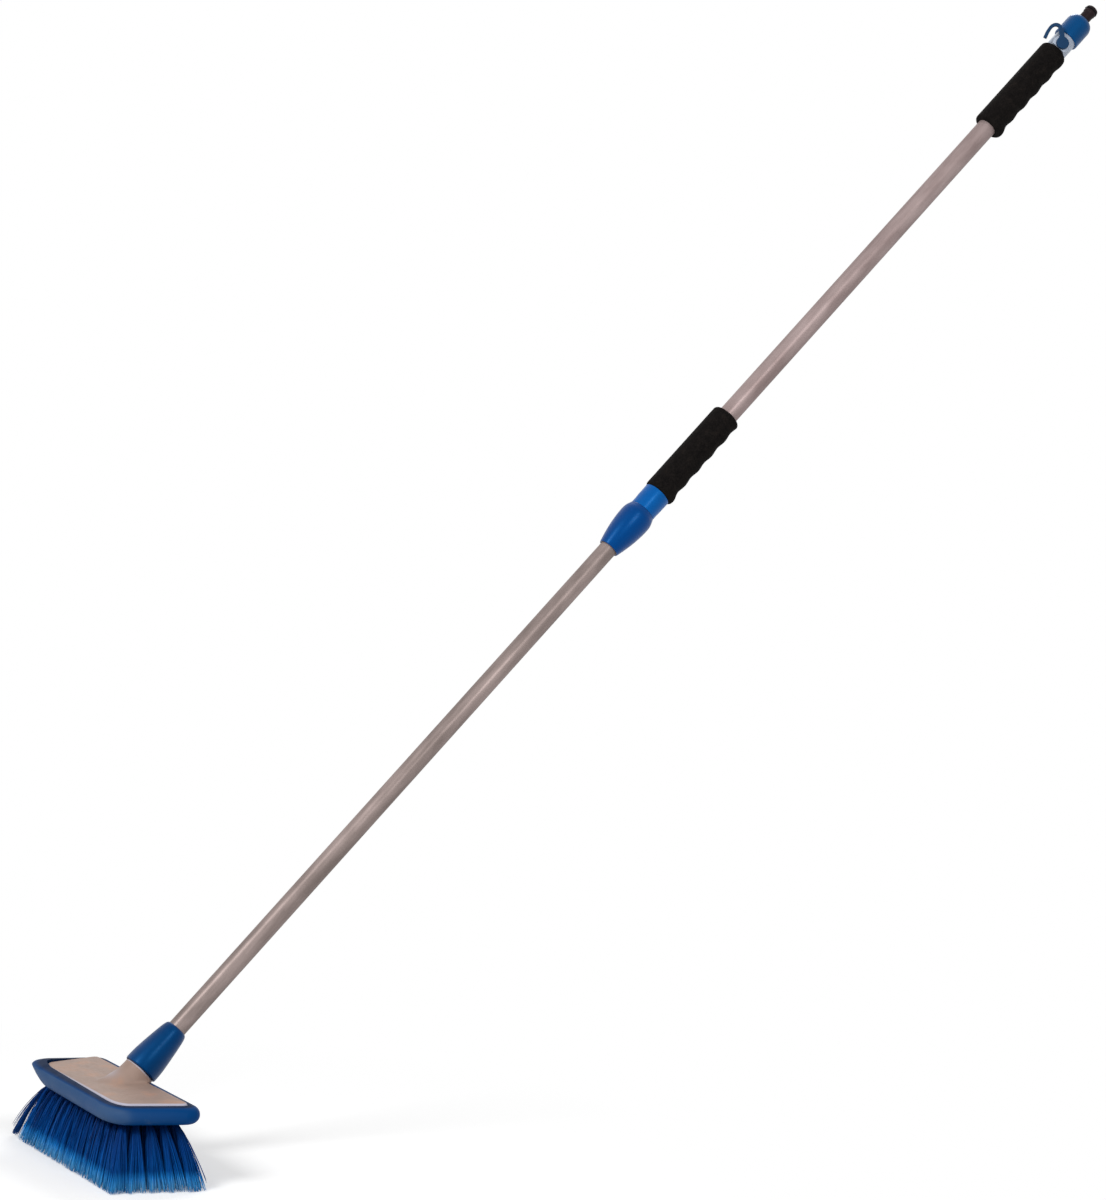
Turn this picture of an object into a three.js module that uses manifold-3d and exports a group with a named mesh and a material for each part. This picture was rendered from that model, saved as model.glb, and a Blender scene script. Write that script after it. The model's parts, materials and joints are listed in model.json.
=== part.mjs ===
// Telescopic water-fed wash brush: flared bristle head, twist-lock pole in two stages, shut-off
// valve and hose connector. Millimetres, +Z up. The origin is the middle of the bristle-tip plane,
// X runs along the brush head and the pole leans towards +Y.

import * as THREE from 'three';
import { mergeVertices } from 'three/addons/utils/BufferGeometryUtils.js';
import Module from 'manifold-3d';

const wasm = await Module();
wasm.setup();

// ---------------------------------------------------------------- driving dimensions

// Running and seating gaps, per side
const GAP = 0.3;
const SEAL_GAP = 0.2; // between a sealing ring and the bore that it seals
const CUT = 1; // how far a cutting tool runs past the face that it opens

// Brush head
const BLOCK_BACK_LENGTH = 260; // on the pole's side
const BLOCK_FRONT_LENGTH = 219;
const BLOCK_WIDTH = 77;
const BACK_CORNER = 9;
const FRONT_CORNER_ALONG = 30; // the front corners sweep further along the front edge
const FRONT_CORNER_ACROSS = 16;
const SHELL_HEIGHT = 14;
const SHELL_WALL = 4.5;
const SHELL_EDGE = 3;
const PLATE_THICKNESS = 9;
const PLATE_RIM = 3;
const BUMPER_HEIGHT = 20.6;
const BUMPER_BULGE = 14;
const BUMPER_DROP = 2.5; // the bumper's top lip lies this far under the shell's top

// Bristles
const BRISTLE_LENGTH = 70;
const BRISTLE_SET = 6; // depth of a tuft in the block
const TUFT_ROWS = 5;
const TUFTS_PER_ROW = 15; // odd, so that one tuft stands at the middle
const TUFT_RADIUS = 2.7;
const TUFT_MARGIN_END = 13; // from the block's edge to the outermost tufts
const TUFT_MARGIN_SIDE = 11.5;
const TIP_END_SPREAD = 24.5; // the tips stand out past the block at its ends
const TIP_SIDE_SPREAD = 15.8; // and past its long sides
const TIP_OVERLAP = 1.12; // neighbouring tufts of a row merge at their tips
const JET_RADIUS = 1.6;
const JET_COUNT = 6;

// Neck that the pole screws on to
const POLE_ANGLE = 46.2; // degrees above the tip plane
const SOCKET_OFFSET = 24.8; // from the block's middle to where the pole's axis meets its top
const NECK_LENGTH = 14.6;
const NECK_RADIUS = 19;
const NECK_FLARE = 10.5; // how far its root spreads, where it runs into the block's top
const NECK_COLLAR = 4; // straight, under the nut
const SPIGOT_LENGTH = 20;
const SPIGOT_RADIUS = 12.9;
const WATERWAY_RADIUS = 6.5;
const HEAD_SEAL_THICKNESS = 2.4;

// Coupling nut on the neck
const HEAD_NUT_LENGTH = 61.7;
const HEAD_NUT_BASE_RADIUS = 21;
const HEAD_NUT_TOP_RADIUS = 15.6;
const HEAD_NUT_SHOULDER = 7;
const TUBE_END_FLANGE = 4;

// Tubes
const INNER_TUBE_RADIUS = 11;
const INNER_TUBE_WALL = 0.9;
const OUTER_TUBE_RADIUS = 12.2;
const OUTER_TUBE_WALL = 0.9;
const INNER_TUBE_SHOWING = 770.5; // from the coupling nut to the twist lock
const TUBE_OVERLAP = 70; // inner tube left inside the outer one at full reach
const PLUG_LENGTH = 20; // what is pressed into a tube's end
const PLUG_BORE = 5;
const PISTON_HEAD = 22;
const PISTON_RING_SECTION = 2;

// Twist lock
const LOCK_NUT_LENGTH = 63;
const LOCK_NUT_MOUTH_RADIUS = 13.3;
const LOCK_NUT_RADIUS = 20.5;
const LOCK_NUT_SHOULDER_RADIUS = 17.2;
const LOCK_NECK_RADIUS = 16.7;
const LOCK_NECK_SHOWING = 29.4;
const LOCK_THREAD_RADIUS = 15.2;
const LOCK_THREAD_LENGTH = 30;
const LOCK_SLEEVE_LENGTH = 16; // of the neck, under the front grip
const COLLET_WALL = 2.2;
const COLLET_TIP_WALL = 0.6;
const COLLET_INSET = 1.2; // from the lock nut's mouth
const COLLET_SLOT = 1.6;

// Foam grips
const GRIP_RADIUS = 18.6;
const GRIP_END_ROUND = 3.5;
const GUARD_HEIGHT = 1.9; // the first finger swell stands this far above the others
const FINGER_DEPTH = 1.5;
const FINGER_PITCH = 25.5;
const FRONT_GRIP_LENGTH = 134.3;
const REAR_GRIP_LENGTH = 142.1;
const OUTER_TUBE_SHOWING = 525.5; // between the two grips

// Shut-off valve
const HANDLE_TURN = -26; // degrees, how the handle is turned on the pole against the head
const HOUSING_RADIUS = 14.5;
const HOUSING_HEIGHT = 28;
const HOUSING_PLUG = 26;
const HUB_RISE = 7.3; // from the housing's foot to the lever's axis
const HUB_RADIUS = 8.2;
const HUB_THICKNESS = 4.2;
const BOSS_RADIUS = 11.5;
const BOSS_REACH = 16.9;
const BALL_RADIUS = 8;
const BALL_BORE = 3.6;
const CAVITY_RADIUS = 9.3;
const SEAT_INNER_RADIUS = 4.6;
const SEAT_THICKNESS = 4;
const STEM_RADIUS = 3;
const STEM_SQUARE = 4;
const TANG_THICKNESS = 2;
const TANG_DEPTH = 2.1;
const STEM_RING_SECTION = 1.6;
const DOME_RADIUS = 16.9;
const DOME_FOOT_RISE = 23.5; // from the housing's foot to the dome's rim
const DOME_HEIGHT = 36.5;
const DOME_TOP_RADIUS = 10;
const DOME_SHOULDER = 10.5;
const HOOK_WIDTH = 4.4;
const ARM_WIDTH = 7.5;
const NIPPLE_LENGTH = 23;
const NIPPLE_RADIUS = 7.5;
const NIPPLE_HEAD_RADIUS = 8.2;
const NIPPLE_HEAD_LENGTH = 9;
const NIPPLE_STEM = 9;
const NIPPLE_BORE = 4;
const NIPPLE_GROOVE = 2.2;

// Facets round a turned part
const FINE = 24;
const PLAIN = 20;
const SMALL = 12;

// ---------------------------------------------------------------- materials

function material(color, roughness, metalness = 0) {
  return new THREE.MeshStandardMaterial({ color, roughness, metalness });
}

const paint = {
  shell: material(0xb7a396, 0.55),
  bumper: material(0x1f4f92, 0.5),
  plate: material(0x16467f, 0.6),
  bristle: material(0x083a73, 0.7),
  nut: material(0x06407f, 0.4),
  lock: material(0x0b559f, 0.35),
  tube: material(0xb3a49c, 0.35, 0.85),
  foam: material(0x1c1917, 0.95),
  housing: material(0xc3c8d2, 0.45),
  valve: material(0x1f5496, 0.35),
  lever: material(0x1d4a80, 0.4),
  nipple: material(0x2b2124, 0.5),
  rubber: material(0x15161a, 0.8),
  white: material(0xe6e6e2, 0.5),
  steel: material(0xb9bcc0, 0.3, 0.9),
};

// ---------------------------------------------------------------- solids

// A closed geometry as a solid: only positions, shared vertices merged, no collapsed triangles.
function solid(geometry) {
  const bare = geometry.clone();
  bare.deleteAttribute('normal');
  bare.deleteAttribute('uv');
  const merged = mergeVertices(bare, 1e-4);
  const index = merged.index.array;
  const triangles = [];
  for (let i = 0; i < index.length; i += 3) {
    const [a, b, c] = [index[i], index[i + 1], index[i + 2]];
    if (a !== b && b !== c && c !== a) triangles.push(a, b, c);
  }
  return new wasm.Manifold(new wasm.Mesh({
    numProp: 3,
    vertProperties: new Float32Array(merged.attributes.position.array),
    triVerts: new Uint32Array(triangles),
  }));
}

function geometryOf(body) {
  const mesh = body.getMesh();
  const geometry = new THREE.BufferGeometry();
  geometry.setAttribute('position', new THREE.BufferAttribute(mesh.vertProperties, mesh.numProp));
  geometry.setIndex(new THREE.BufferAttribute(mesh.triVerts, 1));
  geometry.computeVertexNormals();
  return geometry;
}

function join(bodies) {
  return bodies.reduce((whole, body) => whole.add(body));
}

// Turned about Z. The profile is [radius, z], counter-clockwise with the radius to the right,
// and either starts and ends on the axis or closes on itself.
function turned(profile, segments = PLAIN) {
  const points = profile.map(([r, z]) => new THREE.Vector2(r, z));
  const onAxis = profile[0][0] === 0;
  if (!onAxis) points.push(points[0].clone());
  return new THREE.LatheGeometry(points, segments).rotateX(Math.PI / 2);
}

function rod(radius, z0, z1, segments = PLAIN) {
  return turned([[0, z0], [radius, z0], [radius, z1], [0, z1]], segments);
}

function sleeve(inner, outer, z0, z1, segments = PLAIN) {
  return turned([[outer, z0], [outer, z1], [inner, z1], [inner, z0]], segments);
}

function ringSeal(middleRadius, section, z, segments = PLAIN) {
  const around = 6;
  const profile = [];
  for (let i = 0; i < around; i += 1) {
    const turn = (2 * Math.PI * i) / around;
    profile.push([middleRadius + (section / 2) * Math.cos(turn), z + (section / 2) * Math.sin(turn)]);
  }
  return turned(profile, segments);
}

function box(x0, x1, y0, y1, z0, z1) {
  const geometry = new THREE.BoxGeometry(x1 - x0, y1 - y0, z1 - z0);
  return geometry.translate((x0 + x1) / 2, (y0 + y1) / 2, (z0 + z1) / 2);
}

// A flat outline raised from z0 to z1.
function raised(shape, z0, z1, curveSegments = 5) {
  return new THREE.ExtrudeGeometry(shape, { depth: z1 - z0, bevelEnabled: false, curveSegments })
    .translate(0, 0, z0);
}

// Rings of points, each counter-clockwise seen from above, joined into one closed skin.
function lofted(rings) {
  const sides = rings[0].length;
  const positions = rings.flat(2);
  const index = [];
  for (let i = 0; i + 1 < rings.length; i += 1) {
    for (let j = 0; j < sides; j += 1) {
      const a = i * sides + j;
      const b = i * sides + ((j + 1) % sides);
      index.push(a, b, b + sides, a, b + sides, a + sides);
    }
  }
  const top = (rings.length - 1) * sides;
  for (let j = 1; j + 1 < sides; j += 1) {
    index.push(0, j + 1, j);
    index.push(top, top + j, top + j + 1);
  }
  const geometry = new THREE.BufferGeometry();
  geometry.setAttribute('position', new THREE.Float32BufferAttribute(positions, 3));
  geometry.setIndex(index);
  return geometry;
}

function lerp(from, to, t) {
  return from + (to - from) * t;
}

// ---------------------------------------------------------------- the object's tree

const washBrush = new THREE.Group();
const pole = new THREE.Group(); // Z along the pole, up its length
const handle = new THREE.Group(); // the pole's frame, turned with the handle
washBrush.add(pole);
pole.add(handle);

function part(name, body, finish, group) {
  const geometry = body instanceof THREE.BufferGeometry ? geometryOf(solid(body)) : geometryOf(body);
  const mesh = new THREE.Mesh(geometry, finish);
  mesh.name = name;
  group.add(mesh);
}

// ---------------------------------------------------------------- brush head

const plateBottom = BRISTLE_LENGTH;
const plateTop = plateBottom + PLATE_THICKNESS;
const shellBottom = plateTop + GAP;
const shellTop = shellBottom + SHELL_HEIGHT;

const endSlope = (BLOCK_BACK_LENGTH - BLOCK_FRONT_LENGTH) / 2 / BLOCK_WIDTH;

// Half of the block's length at a given y, with the ends moved out by grow.
function halfLength(y, grow = 0) {
  const middle = (BLOCK_BACK_LENGTH + BLOCK_FRONT_LENGTH) / 4;
  return middle + endSlope * y + grow * Math.hypot(1, endSlope);
}

// The block seen from above, moved out by grow: a trapezoid, longer on the pole's side.
function blockOutline(grow = 0) {
  const half = BLOCK_WIDTH / 2 + grow;
  const back = Math.max(BACK_CORNER + grow, 2);
  const along = Math.max(FRONT_CORNER_ALONG + grow, 2);
  const across = Math.max(FRONT_CORNER_ACROSS + grow, 2);
  const corners = [
    { x: halfLength(half, grow), y: half, before: back, after: back },
    { x: -halfLength(half, grow), y: half, before: back, after: back },
    { x: -halfLength(-half, grow), y: -half, before: across, after: along },
    { x: halfLength(-half, grow), y: -half, before: along, after: across },
  ];
  const shape = new THREE.Shape();
  corners.forEach((corner, i) => {
    const here = new THREE.Vector2(corner.x, corner.y);
    const last = corners[(i + corners.length - 1) % corners.length];
    const next = corners[(i + 1) % corners.length];
    const start = new THREE.Vector2(last.x, last.y).sub(here).setLength(corner.before).add(here);
    const end = new THREE.Vector2(next.x, next.y).sub(here).setLength(corner.after).add(here);
    if (i === 0) shape.moveTo(start.x, start.y);
    else shape.lineTo(start.x, start.y);
    shape.quadraticCurveTo(here.x, here.y, end.x, end.y);
  });
  shape.closePath();
  return shape;
}

const footPlace = new THREE.Vector3(0, SOCKET_OFFSET, shellTop);
const poleTilt = -THREE.MathUtils.degToRad(90 - POLE_ANGLE);

// From the pole's frame, where Z runs up the pole, to the head's.
function fromPole(geometry) {
  return geometry.rotateX(poleTilt).translate(footPlace.x, footPlace.y, footPlace.z);
}

// The neck's outside: a hollow flare that leaves the block's top where its widest ring meets it.
function neckForm(grow = 0) {
  const steps = 7;
  const top = NECK_LENGTH - GAP;
  const root = -(NECK_RADIUS + NECK_FLARE) / Math.tan(THREE.MathUtils.degToRad(POLE_ANGLE));
  const profile = [[0, root]];
  for (let i = 0; i <= steps; i += 1) {
    const t = i / steps;
    const flare = NECK_FLARE * (1 - t) ** 1.8;
    profile.push([NECK_RADIUS + flare + grow, lerp(root, top - NECK_COLLAR, t)]);
  }
  profile.push([NECK_RADIUS + grow, top], [0, top]);
  return solid(fromPole(turned(profile, FINE)));
}

function headShell() {
  const crown = new THREE.ExtrudeGeometry(blockOutline(), {
    depth: SHELL_HEIGHT,
    bevelThickness: SHELL_EDGE,
    bevelSize: SHELL_EDGE,
    bevelOffset: -SHELL_EDGE,
    bevelSegments: 3,
    curveSegments: 5,
  }).translate(0, 0, shellBottom - SHELL_EDGE);
  const reach = BLOCK_BACK_LENGTH;
  const above = solid(box(-reach, reach, -reach, reach, shellBottom, shellTop + reach));
  const spigot = solid(fromPole(rod(SPIGOT_RADIUS, 0, NECK_LENGTH + SPIGOT_LENGTH, FINE)));
  const outside = solid(crown).add(neckForm()).intersect(above).add(spigot.intersect(above));
  const chamber = solid(raised(blockOutline(-SHELL_WALL), shellBottom - CUT, shellTop - SHELL_WALL));
  const water = rod(WATERWAY_RADIUS, -NECK_LENGTH, NECK_LENGTH + SPIGOT_LENGTH + CUT, SMALL);
  return outside.subtract(chamber).subtract(solid(fromPole(water)));
}

function bumper() {
  const middle = 1;
  const depth = (BUMPER_HEIGHT - middle) / 2;
  const top = shellTop - BUMPER_DROP;
  const nose = new THREE.ExtrudeGeometry(blockOutline(GAP), {
    depth: middle,
    bevelThickness: depth,
    bevelSize: BUMPER_BULGE,
    bevelSegments: 4,
    curveSegments: 5,
  }).translate(0, 0, top - depth - middle);
  const inside = solid(raised(blockOutline(GAP), top - BUMPER_HEIGHT - CUT, top + CUT));
  return solid(nose).subtract(inside).subtract(neckForm(GAP));
}

const tuftRootHeight = plateBottom + BRISTLE_SET;

// Tuft i of row j at its tip and at its root, in the block.
function tuftEnds(i, j) {
  const along = (2 * i) / (TUFTS_PER_ROW - 1) - 1;
  const across = (2 * j) / (TUFT_ROWS - 1) - 1;
  const rootY = across * (BLOCK_WIDTH / 2 - TUFT_MARGIN_SIDE);
  const root = {
    x: along * (halfLength(rootY) - TUFT_MARGIN_END),
    y: rootY,
    halfWidth: TUFT_RADIUS,
    halfDepth: TUFT_RADIUS,
  };
  const tipWidth = BLOCK_WIDTH + 2 * TIP_SIDE_SPREAD;
  const depth = tipWidth / TUFT_ROWS;
  const blockLength = lerp(BLOCK_FRONT_LENGTH, BLOCK_BACK_LENGTH, (j + 0.5) / TUFT_ROWS);
  const rowLength = blockLength + 2 * TIP_END_SPREAD;
  const width = (rowLength / (TUFTS_PER_ROW - 1 + TIP_OVERLAP)) * TIP_OVERLAP;
  const tip = {
    x: (along * (rowLength - width)) / 2,
    y: (across * (tipWidth - depth)) / 2,
    halfWidth: width / 2,
    halfDepth: (depth - GAP) / 2,
  };
  return { tip, root };
}

// A tuft's six-sided slice at height z, moved out by grow. Its flats face along the row.
function tuftSlice(i, j, z, grow = 0) {
  const { tip, root } = tuftEnds(i, j);
  const t = z / tuftRootHeight;
  const sides = 6;
  const slice = [];
  for (let k = 0; k < sides; k += 1) {
    const turn = (2 * Math.PI * (k + 0.5)) / sides;
    const halfWidth = lerp(tip.halfWidth, root.halfWidth, t) + grow;
    const halfDepth = lerp(tip.halfDepth, root.halfDepth, t) + grow;
    const x = lerp(tip.x, root.x, t) + (halfWidth * Math.cos(turn)) / Math.cos(Math.PI / sides);
    slice.push([x, lerp(tip.y, root.y, t) + halfDepth * Math.sin(turn), z]);
  }
  return slice;
}

function bristleRow(j) {
  const tufts = [];
  for (let i = 0; i < TUFTS_PER_ROW; i += 1) {
    tufts.push(solid(lofted([tuftSlice(i, j, 0), tuftSlice(i, j, tuftRootHeight)])));
  }
  return join(tufts);
}

function bristleBlock() {
  const plate = solid(raised(blockOutline(), plateBottom, plateTop));
  const rim = solid(raised(blockOutline(-SHELL_WALL - GAP), plateTop - CUT, plateTop + PLATE_RIM));
  const bay = solid(raised(blockOutline(-2 * SHELL_WALL), plateTop, plateTop + PLATE_RIM + CUT));
  const holes = []; // drilled at each tuft's own slant
  for (let j = 0; j < TUFT_ROWS; j += 1) {
    for (let i = 0; i < TUFTS_PER_ROW; i += 1) {
      const mouth = tuftSlice(i, j, plateBottom - CUT, GAP);
      holes.push(solid(lofted([mouth, tuftSlice(i, j, tuftRootHeight + GAP, GAP)])));
    }
  }
  const jets = [];
  for (let k = 0; k < JET_COUNT; k += 1) {
    const row = 1 + (k % 2);
    const tuft = Math.round(lerp(1, TUFTS_PER_ROW - 3, k / (JET_COUNT - 1)));
    const a = tuftEnds(tuft, row).root;
    const b = tuftEnds(tuft + 1, row + 1).root;
    const jet = rod(JET_RADIUS, plateBottom - CUT, plateTop + CUT, 8);
    jets.push(solid(jet.translate((a.x + b.x) / 2, (a.y + b.y) / 2, 0)));
  }
  return plate.add(rim.subtract(bay)).subtract(join(holes)).subtract(join(jets));
}

part('head_shell', headShell(), paint.shell, washBrush);
part('bumper', bumper(), paint.bumper, washBrush);
part('bristle_block', bristleBlock(), paint.plate, washBrush);
for (let j = 0; j < TUFT_ROWS; j += 1) {
  part(`bristle_row_${j + 1}`, bristleRow(j), paint.bristle, washBrush);
}

// ---------------------------------------------------------------- coupling on the head

pole.position.copy(footPlace);
pole.rotation.x = poleTilt;

const spigotEnd = NECK_LENGTH + SPIGOT_LENGTH;
const sealTop = spigotEnd + GAP + HEAD_SEAL_THICKNESS;
const flangeBottom = sealTop + GAP;
const flangeTop = flangeBottom + TUBE_END_FLANGE;
const innerTubeBore = INNER_TUBE_RADIUS - INNER_TUBE_WALL;
const outerTubeBore = OUTER_TUBE_RADIUS - OUTER_TUBE_WALL;

function headNut() {
  const top = NECK_LENGTH + HEAD_NUT_LENGTH;
  const shoulder = top - HEAD_NUT_SHOULDER;
  const mouthRadius = INNER_TUBE_RADIUS + 2 * GAP;
  const bulge = 0.7;
  return turned([
    [HEAD_NUT_BASE_RADIUS - 0.6, NECK_LENGTH],
    [HEAD_NUT_BASE_RADIUS, NECK_LENGTH + 1.5],
    [lerp(HEAD_NUT_BASE_RADIUS, HEAD_NUT_TOP_RADIUS, 0.3) + bulge, lerp(NECK_LENGTH, shoulder, 0.38)],
    [lerp(HEAD_NUT_BASE_RADIUS, HEAD_NUT_TOP_RADIUS, 0.72) + bulge, lerp(NECK_LENGTH, shoulder, 0.74)],
    [HEAD_NUT_TOP_RADIUS, shoulder],
    [lerp(HEAD_NUT_TOP_RADIUS, mouthRadius, 0.3), top - HEAD_NUT_SHOULDER * 0.45],
    [lerp(HEAD_NUT_TOP_RADIUS, mouthRadius, 0.65), top - HEAD_NUT_SHOULDER * 0.12],
    [lerp(HEAD_NUT_TOP_RADIUS, mouthRadius, 0.85), top],
    [mouthRadius, top],
    [mouthRadius, flangeTop + GAP],
    [SPIGOT_RADIUS + GAP, flangeTop + GAP],
    [SPIGOT_RADIUS + GAP, NECK_LENGTH],
  ], FINE);
}

// Pressed into the tube's lower end, with the flange that the coupling nut pulls on.
function tubeEnd() {
  const plugTop = flangeTop + GAP + PLUG_LENGTH;
  return turned([
    [SPIGOT_RADIUS - GAP, flangeBottom],
    [SPIGOT_RADIUS - GAP, flangeTop],
    [innerTubeBore - GAP, flangeTop],
    [innerTubeBore - GAP, plugTop],
    [WATERWAY_RADIUS, plugTop],
    [WATERWAY_RADIUS, flangeBottom],
  ]);
}

const headSeal = sleeve(WATERWAY_RADIUS, SPIGOT_RADIUS - GAP, spigotEnd + GAP, sealTop);
part('head_seal', headSeal, paint.rubber, pole);
part('head_nut', headNut(), paint.nut, pole);
part('tube_end', tubeEnd(), paint.white, pole);

// ---------------------------------------------------------------- twist lock and inner tube

const lockMouth = NECK_LENGTH + HEAD_NUT_LENGTH + INNER_TUBE_SHOWING;
const lockNutTop = lockMouth + LOCK_NUT_LENGTH;
const lockNeckBottom = lockNutTop - LOCK_THREAD_LENGTH;
const lockNeckFace = lockNutTop + GAP;
const frontGripBottom = lockNeckFace + LOCK_NECK_SHOWING;
const outerTubeBottom = lockNeckFace + 2;
const innerTubeBottom = flangeTop + GAP;
const innerTubeTop = outerTubeBottom + TUBE_OVERLAP;

// Split into fingers from its lower end. The lock nut's taper closes them on the inner tube.
function lockCollet() {
  const bore = INNER_TUBE_RADIUS + GAP;
  const bottom = lockMouth + COLLET_INSET;
  const top = lockNeckBottom - GAP;
  const body = turned([
    [bore + COLLET_TIP_WALL, bottom],
    [bore + COLLET_WALL, top - 6],
    [bore + COLLET_WALL, top],
    [bore, top],
    [bore, bottom],
  ]);
  const reach = LOCK_NUT_RADIUS;
  const half = COLLET_SLOT / 2;
  const slotTop = lerp(bottom, top, 0.75);
  const slots = [
    solid(box(-reach, reach, -half, half, bottom - CUT, slotTop)),
    solid(box(-half, half, -reach, reach, bottom - CUT, slotTop)),
  ];
  return solid(body).subtract(join(slots));
}

function lockNut() {
  const widest = lerp(lockMouth, lockNutTop, 0.79);
  const taperTop = lockNeckBottom - GAP - 6;
  const bore = INNER_TUBE_RADIUS + 2 * GAP;
  const outside = [];
  const steps = 6;
  for (let i = 0; i <= steps; i += 1) {
    const t = i / steps;
    const swell = lerp(LOCK_NUT_MOUTH_RADIUS + 0.3, LOCK_NUT_RADIUS, Math.sin((t * Math.PI) / 2) ** 0.9);
    outside.push([swell, lerp(lockMouth + 1, widest, t)]);
  }
  return turned([
    [LOCK_NUT_MOUTH_RADIUS, lockMouth],
    ...outside,
    [lerp(LOCK_NUT_RADIUS, LOCK_NUT_SHOULDER_RADIUS, 0.2), lerp(widest, lockNutTop, 0.45)],
    [lerp(LOCK_NUT_RADIUS, LOCK_NUT_SHOULDER_RADIUS, 0.75), lerp(widest, lockNutTop, 0.8)],
    [LOCK_NUT_SHOULDER_RADIUS, lockNutTop],
    [LOCK_THREAD_RADIUS + GAP, lockNutTop],
    [LOCK_THREAD_RADIUS + GAP, lockNeckBottom - GAP],
    [bore + COLLET_WALL, lockNeckBottom - GAP],
    [bore + COLLET_WALL, taperTop],
    [bore + COLLET_TIP_WALL, lockMouth],
  ], FINE);
}

// Fixed on the outer tube: thread for the lock nut below, plain neck, sleeve under the grip.
function lockNeck() {
  const top = frontGripBottom + LOCK_SLEEVE_LENGTH;
  const stop = INNER_TUBE_RADIUS + 2 * GAP;
  const sleeveRadius = OUTER_TUBE_RADIUS + GAP + 1.2;
  return turned([
    [LOCK_THREAD_RADIUS, lockNeckBottom],
    [LOCK_THREAD_RADIUS, lockNeckFace],
    [LOCK_NECK_RADIUS, lockNeckFace],
    [LOCK_NECK_RADIUS + 0.5, frontGripBottom - GAP],
    [sleeveRadius, frontGripBottom - GAP],
    [sleeveRadius, top],
    [OUTER_TUBE_RADIUS + GAP, top],
    [OUTER_TUBE_RADIUS + GAP, outerTubeBottom - GAP],
    [stop, outerTubeBottom - GAP],
    [stop, lockNeckBottom],
  ], FINE);
}

// Snapped into the inner tube's upper end. Its head and ring run in the outer tube.
const pistonBottom = innerTubeTop + GAP;
const ringGroove = PISTON_RING_SECTION + 2 * GAP;
const pistonRadius = outerTubeBore - GAP;
const tubeRingMiddle = outerTubeBore - SEAL_GAP - PISTON_RING_SECTION / 2; // of a ring that seals in it
const pistonRingPlace = pistonBottom + PISTON_HEAD / 2;

function piston() {
  const foot = pistonBottom - PLUG_LENGTH;
  const top = pistonBottom + PISTON_HEAD;
  return turned([
    [innerTubeBore - GAP, foot],
    [innerTubeBore - GAP, pistonBottom],
    [pistonRadius, pistonBottom],
    [pistonRadius, pistonRingPlace - ringGroove / 2],
    [pistonRadius - ringGroove, pistonRingPlace - ringGroove / 2],
    [pistonRadius - ringGroove, pistonRingPlace + ringGroove / 2],
    [pistonRadius, pistonRingPlace + ringGroove / 2],
    [pistonRadius, top],
    [PLUG_BORE, top],
    [PLUG_BORE, foot],
  ]);
}

const innerTube = sleeve(innerTubeBore, INNER_TUBE_RADIUS, innerTubeBottom, innerTubeTop);
part('inner_tube', innerTube, paint.tube, pole);
part('piston', piston(), paint.white, pole);
part('piston_ring', ringSeal(tubeRingMiddle, PISTON_RING_SECTION, pistonRingPlace), paint.rubber, pole);
part('lock_nut', lockNut(), paint.lock, pole);

// ---------------------------------------------------------------- outer tube and grips

handle.rotation.z = THREE.MathUtils.degToRad(HANDLE_TURN);

const frontGripTop = frontGripBottom + FRONT_GRIP_LENGTH;
const rearGripBottom = frontGripTop + OUTER_TUBE_SHOWING;
const rearGripTop = rearGripBottom + REAR_GRIP_LENGTH;

// A foam sleeve with finger swells along its +Y side, the guard swell at its lower end.
function foamGrip(bottom, length, boreRadius) {
  const middle = length - 2 * GRIP_END_ROUND;
  const steps = Math.round((middle / FINGER_PITCH) * 4);
  const stations = [0, GRIP_END_ROUND / 3];
  for (let i = 0; i <= steps; i += 1) stations.push(GRIP_END_ROUND + (middle * i) / steps);
  stations.push(length - GRIP_END_ROUND / 3, length);
  const profile = stations.map((along) => {
    const rounded = Math.max(0, 1 - Math.min(along, length - along) / GRIP_END_ROUND);
    return [GRIP_RADIUS - GRIP_END_ROUND * (1 - Math.sqrt(1 - rounded ** 2)), bottom + along];
  });
  profile.push([boreRadius, bottom + length], [boreRadius, bottom]);
  const geometry = turned(profile);
  const place = geometry.attributes.position;
  for (let v = 0; v < place.count; v += 1) {
    const [x, y, z] = [place.getX(v), place.getY(v), place.getZ(v)];
    const radius = Math.hypot(x, y);
    if (radius > boreRadius + GRIP_END_ROUND / 4) {
      const along = z - bottom;
      const facing = Math.max(0, y / radius);
      const valley = (1 - Math.cos((2 * Math.PI * (along - FINGER_PITCH / 4)) / FINGER_PITCH)) / 2;
      const guard = Math.exp(-(((along - FINGER_PITCH / 4) / (FINGER_PITCH / 3)) ** 2));
      const scale = 1 + (facing * (GUARD_HEIGHT * guard - FINGER_DEPTH * valley)) / radius;
      place.setXY(v, x * scale, y * scale);
    }
  }
  return geometry;
}

const gripBore = OUTER_TUBE_RADIUS + GAP;
const sleeveClearance = OUTER_TUBE_RADIUS + 2 * GAP + 1.2;

function frontGrip() {
  const pocketTop = frontGripBottom + LOCK_SLEEVE_LENGTH + GAP;
  const pocket = rod(sleeveClearance, frontGripBottom - CUT, pocketTop);
  return solid(foamGrip(frontGripBottom, FRONT_GRIP_LENGTH, gripBore)).subtract(solid(pocket));
}

part('lock_collet', lockCollet(), paint.white, handle);
part('lock_neck', lockNeck(), paint.lock, handle);
part('front_grip', frontGrip(), paint.foam, handle);
const outerTube = sleeve(outerTubeBore, OUTER_TUBE_RADIUS, outerTubeBottom, rearGripTop);
part('outer_tube', outerTube, paint.tube, handle);
part('rear_grip', foamGrip(rearGripBottom, REAR_GRIP_LENGTH, gripBore), paint.foam, handle);

// ---------------------------------------------------------------- shut-off valve

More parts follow.
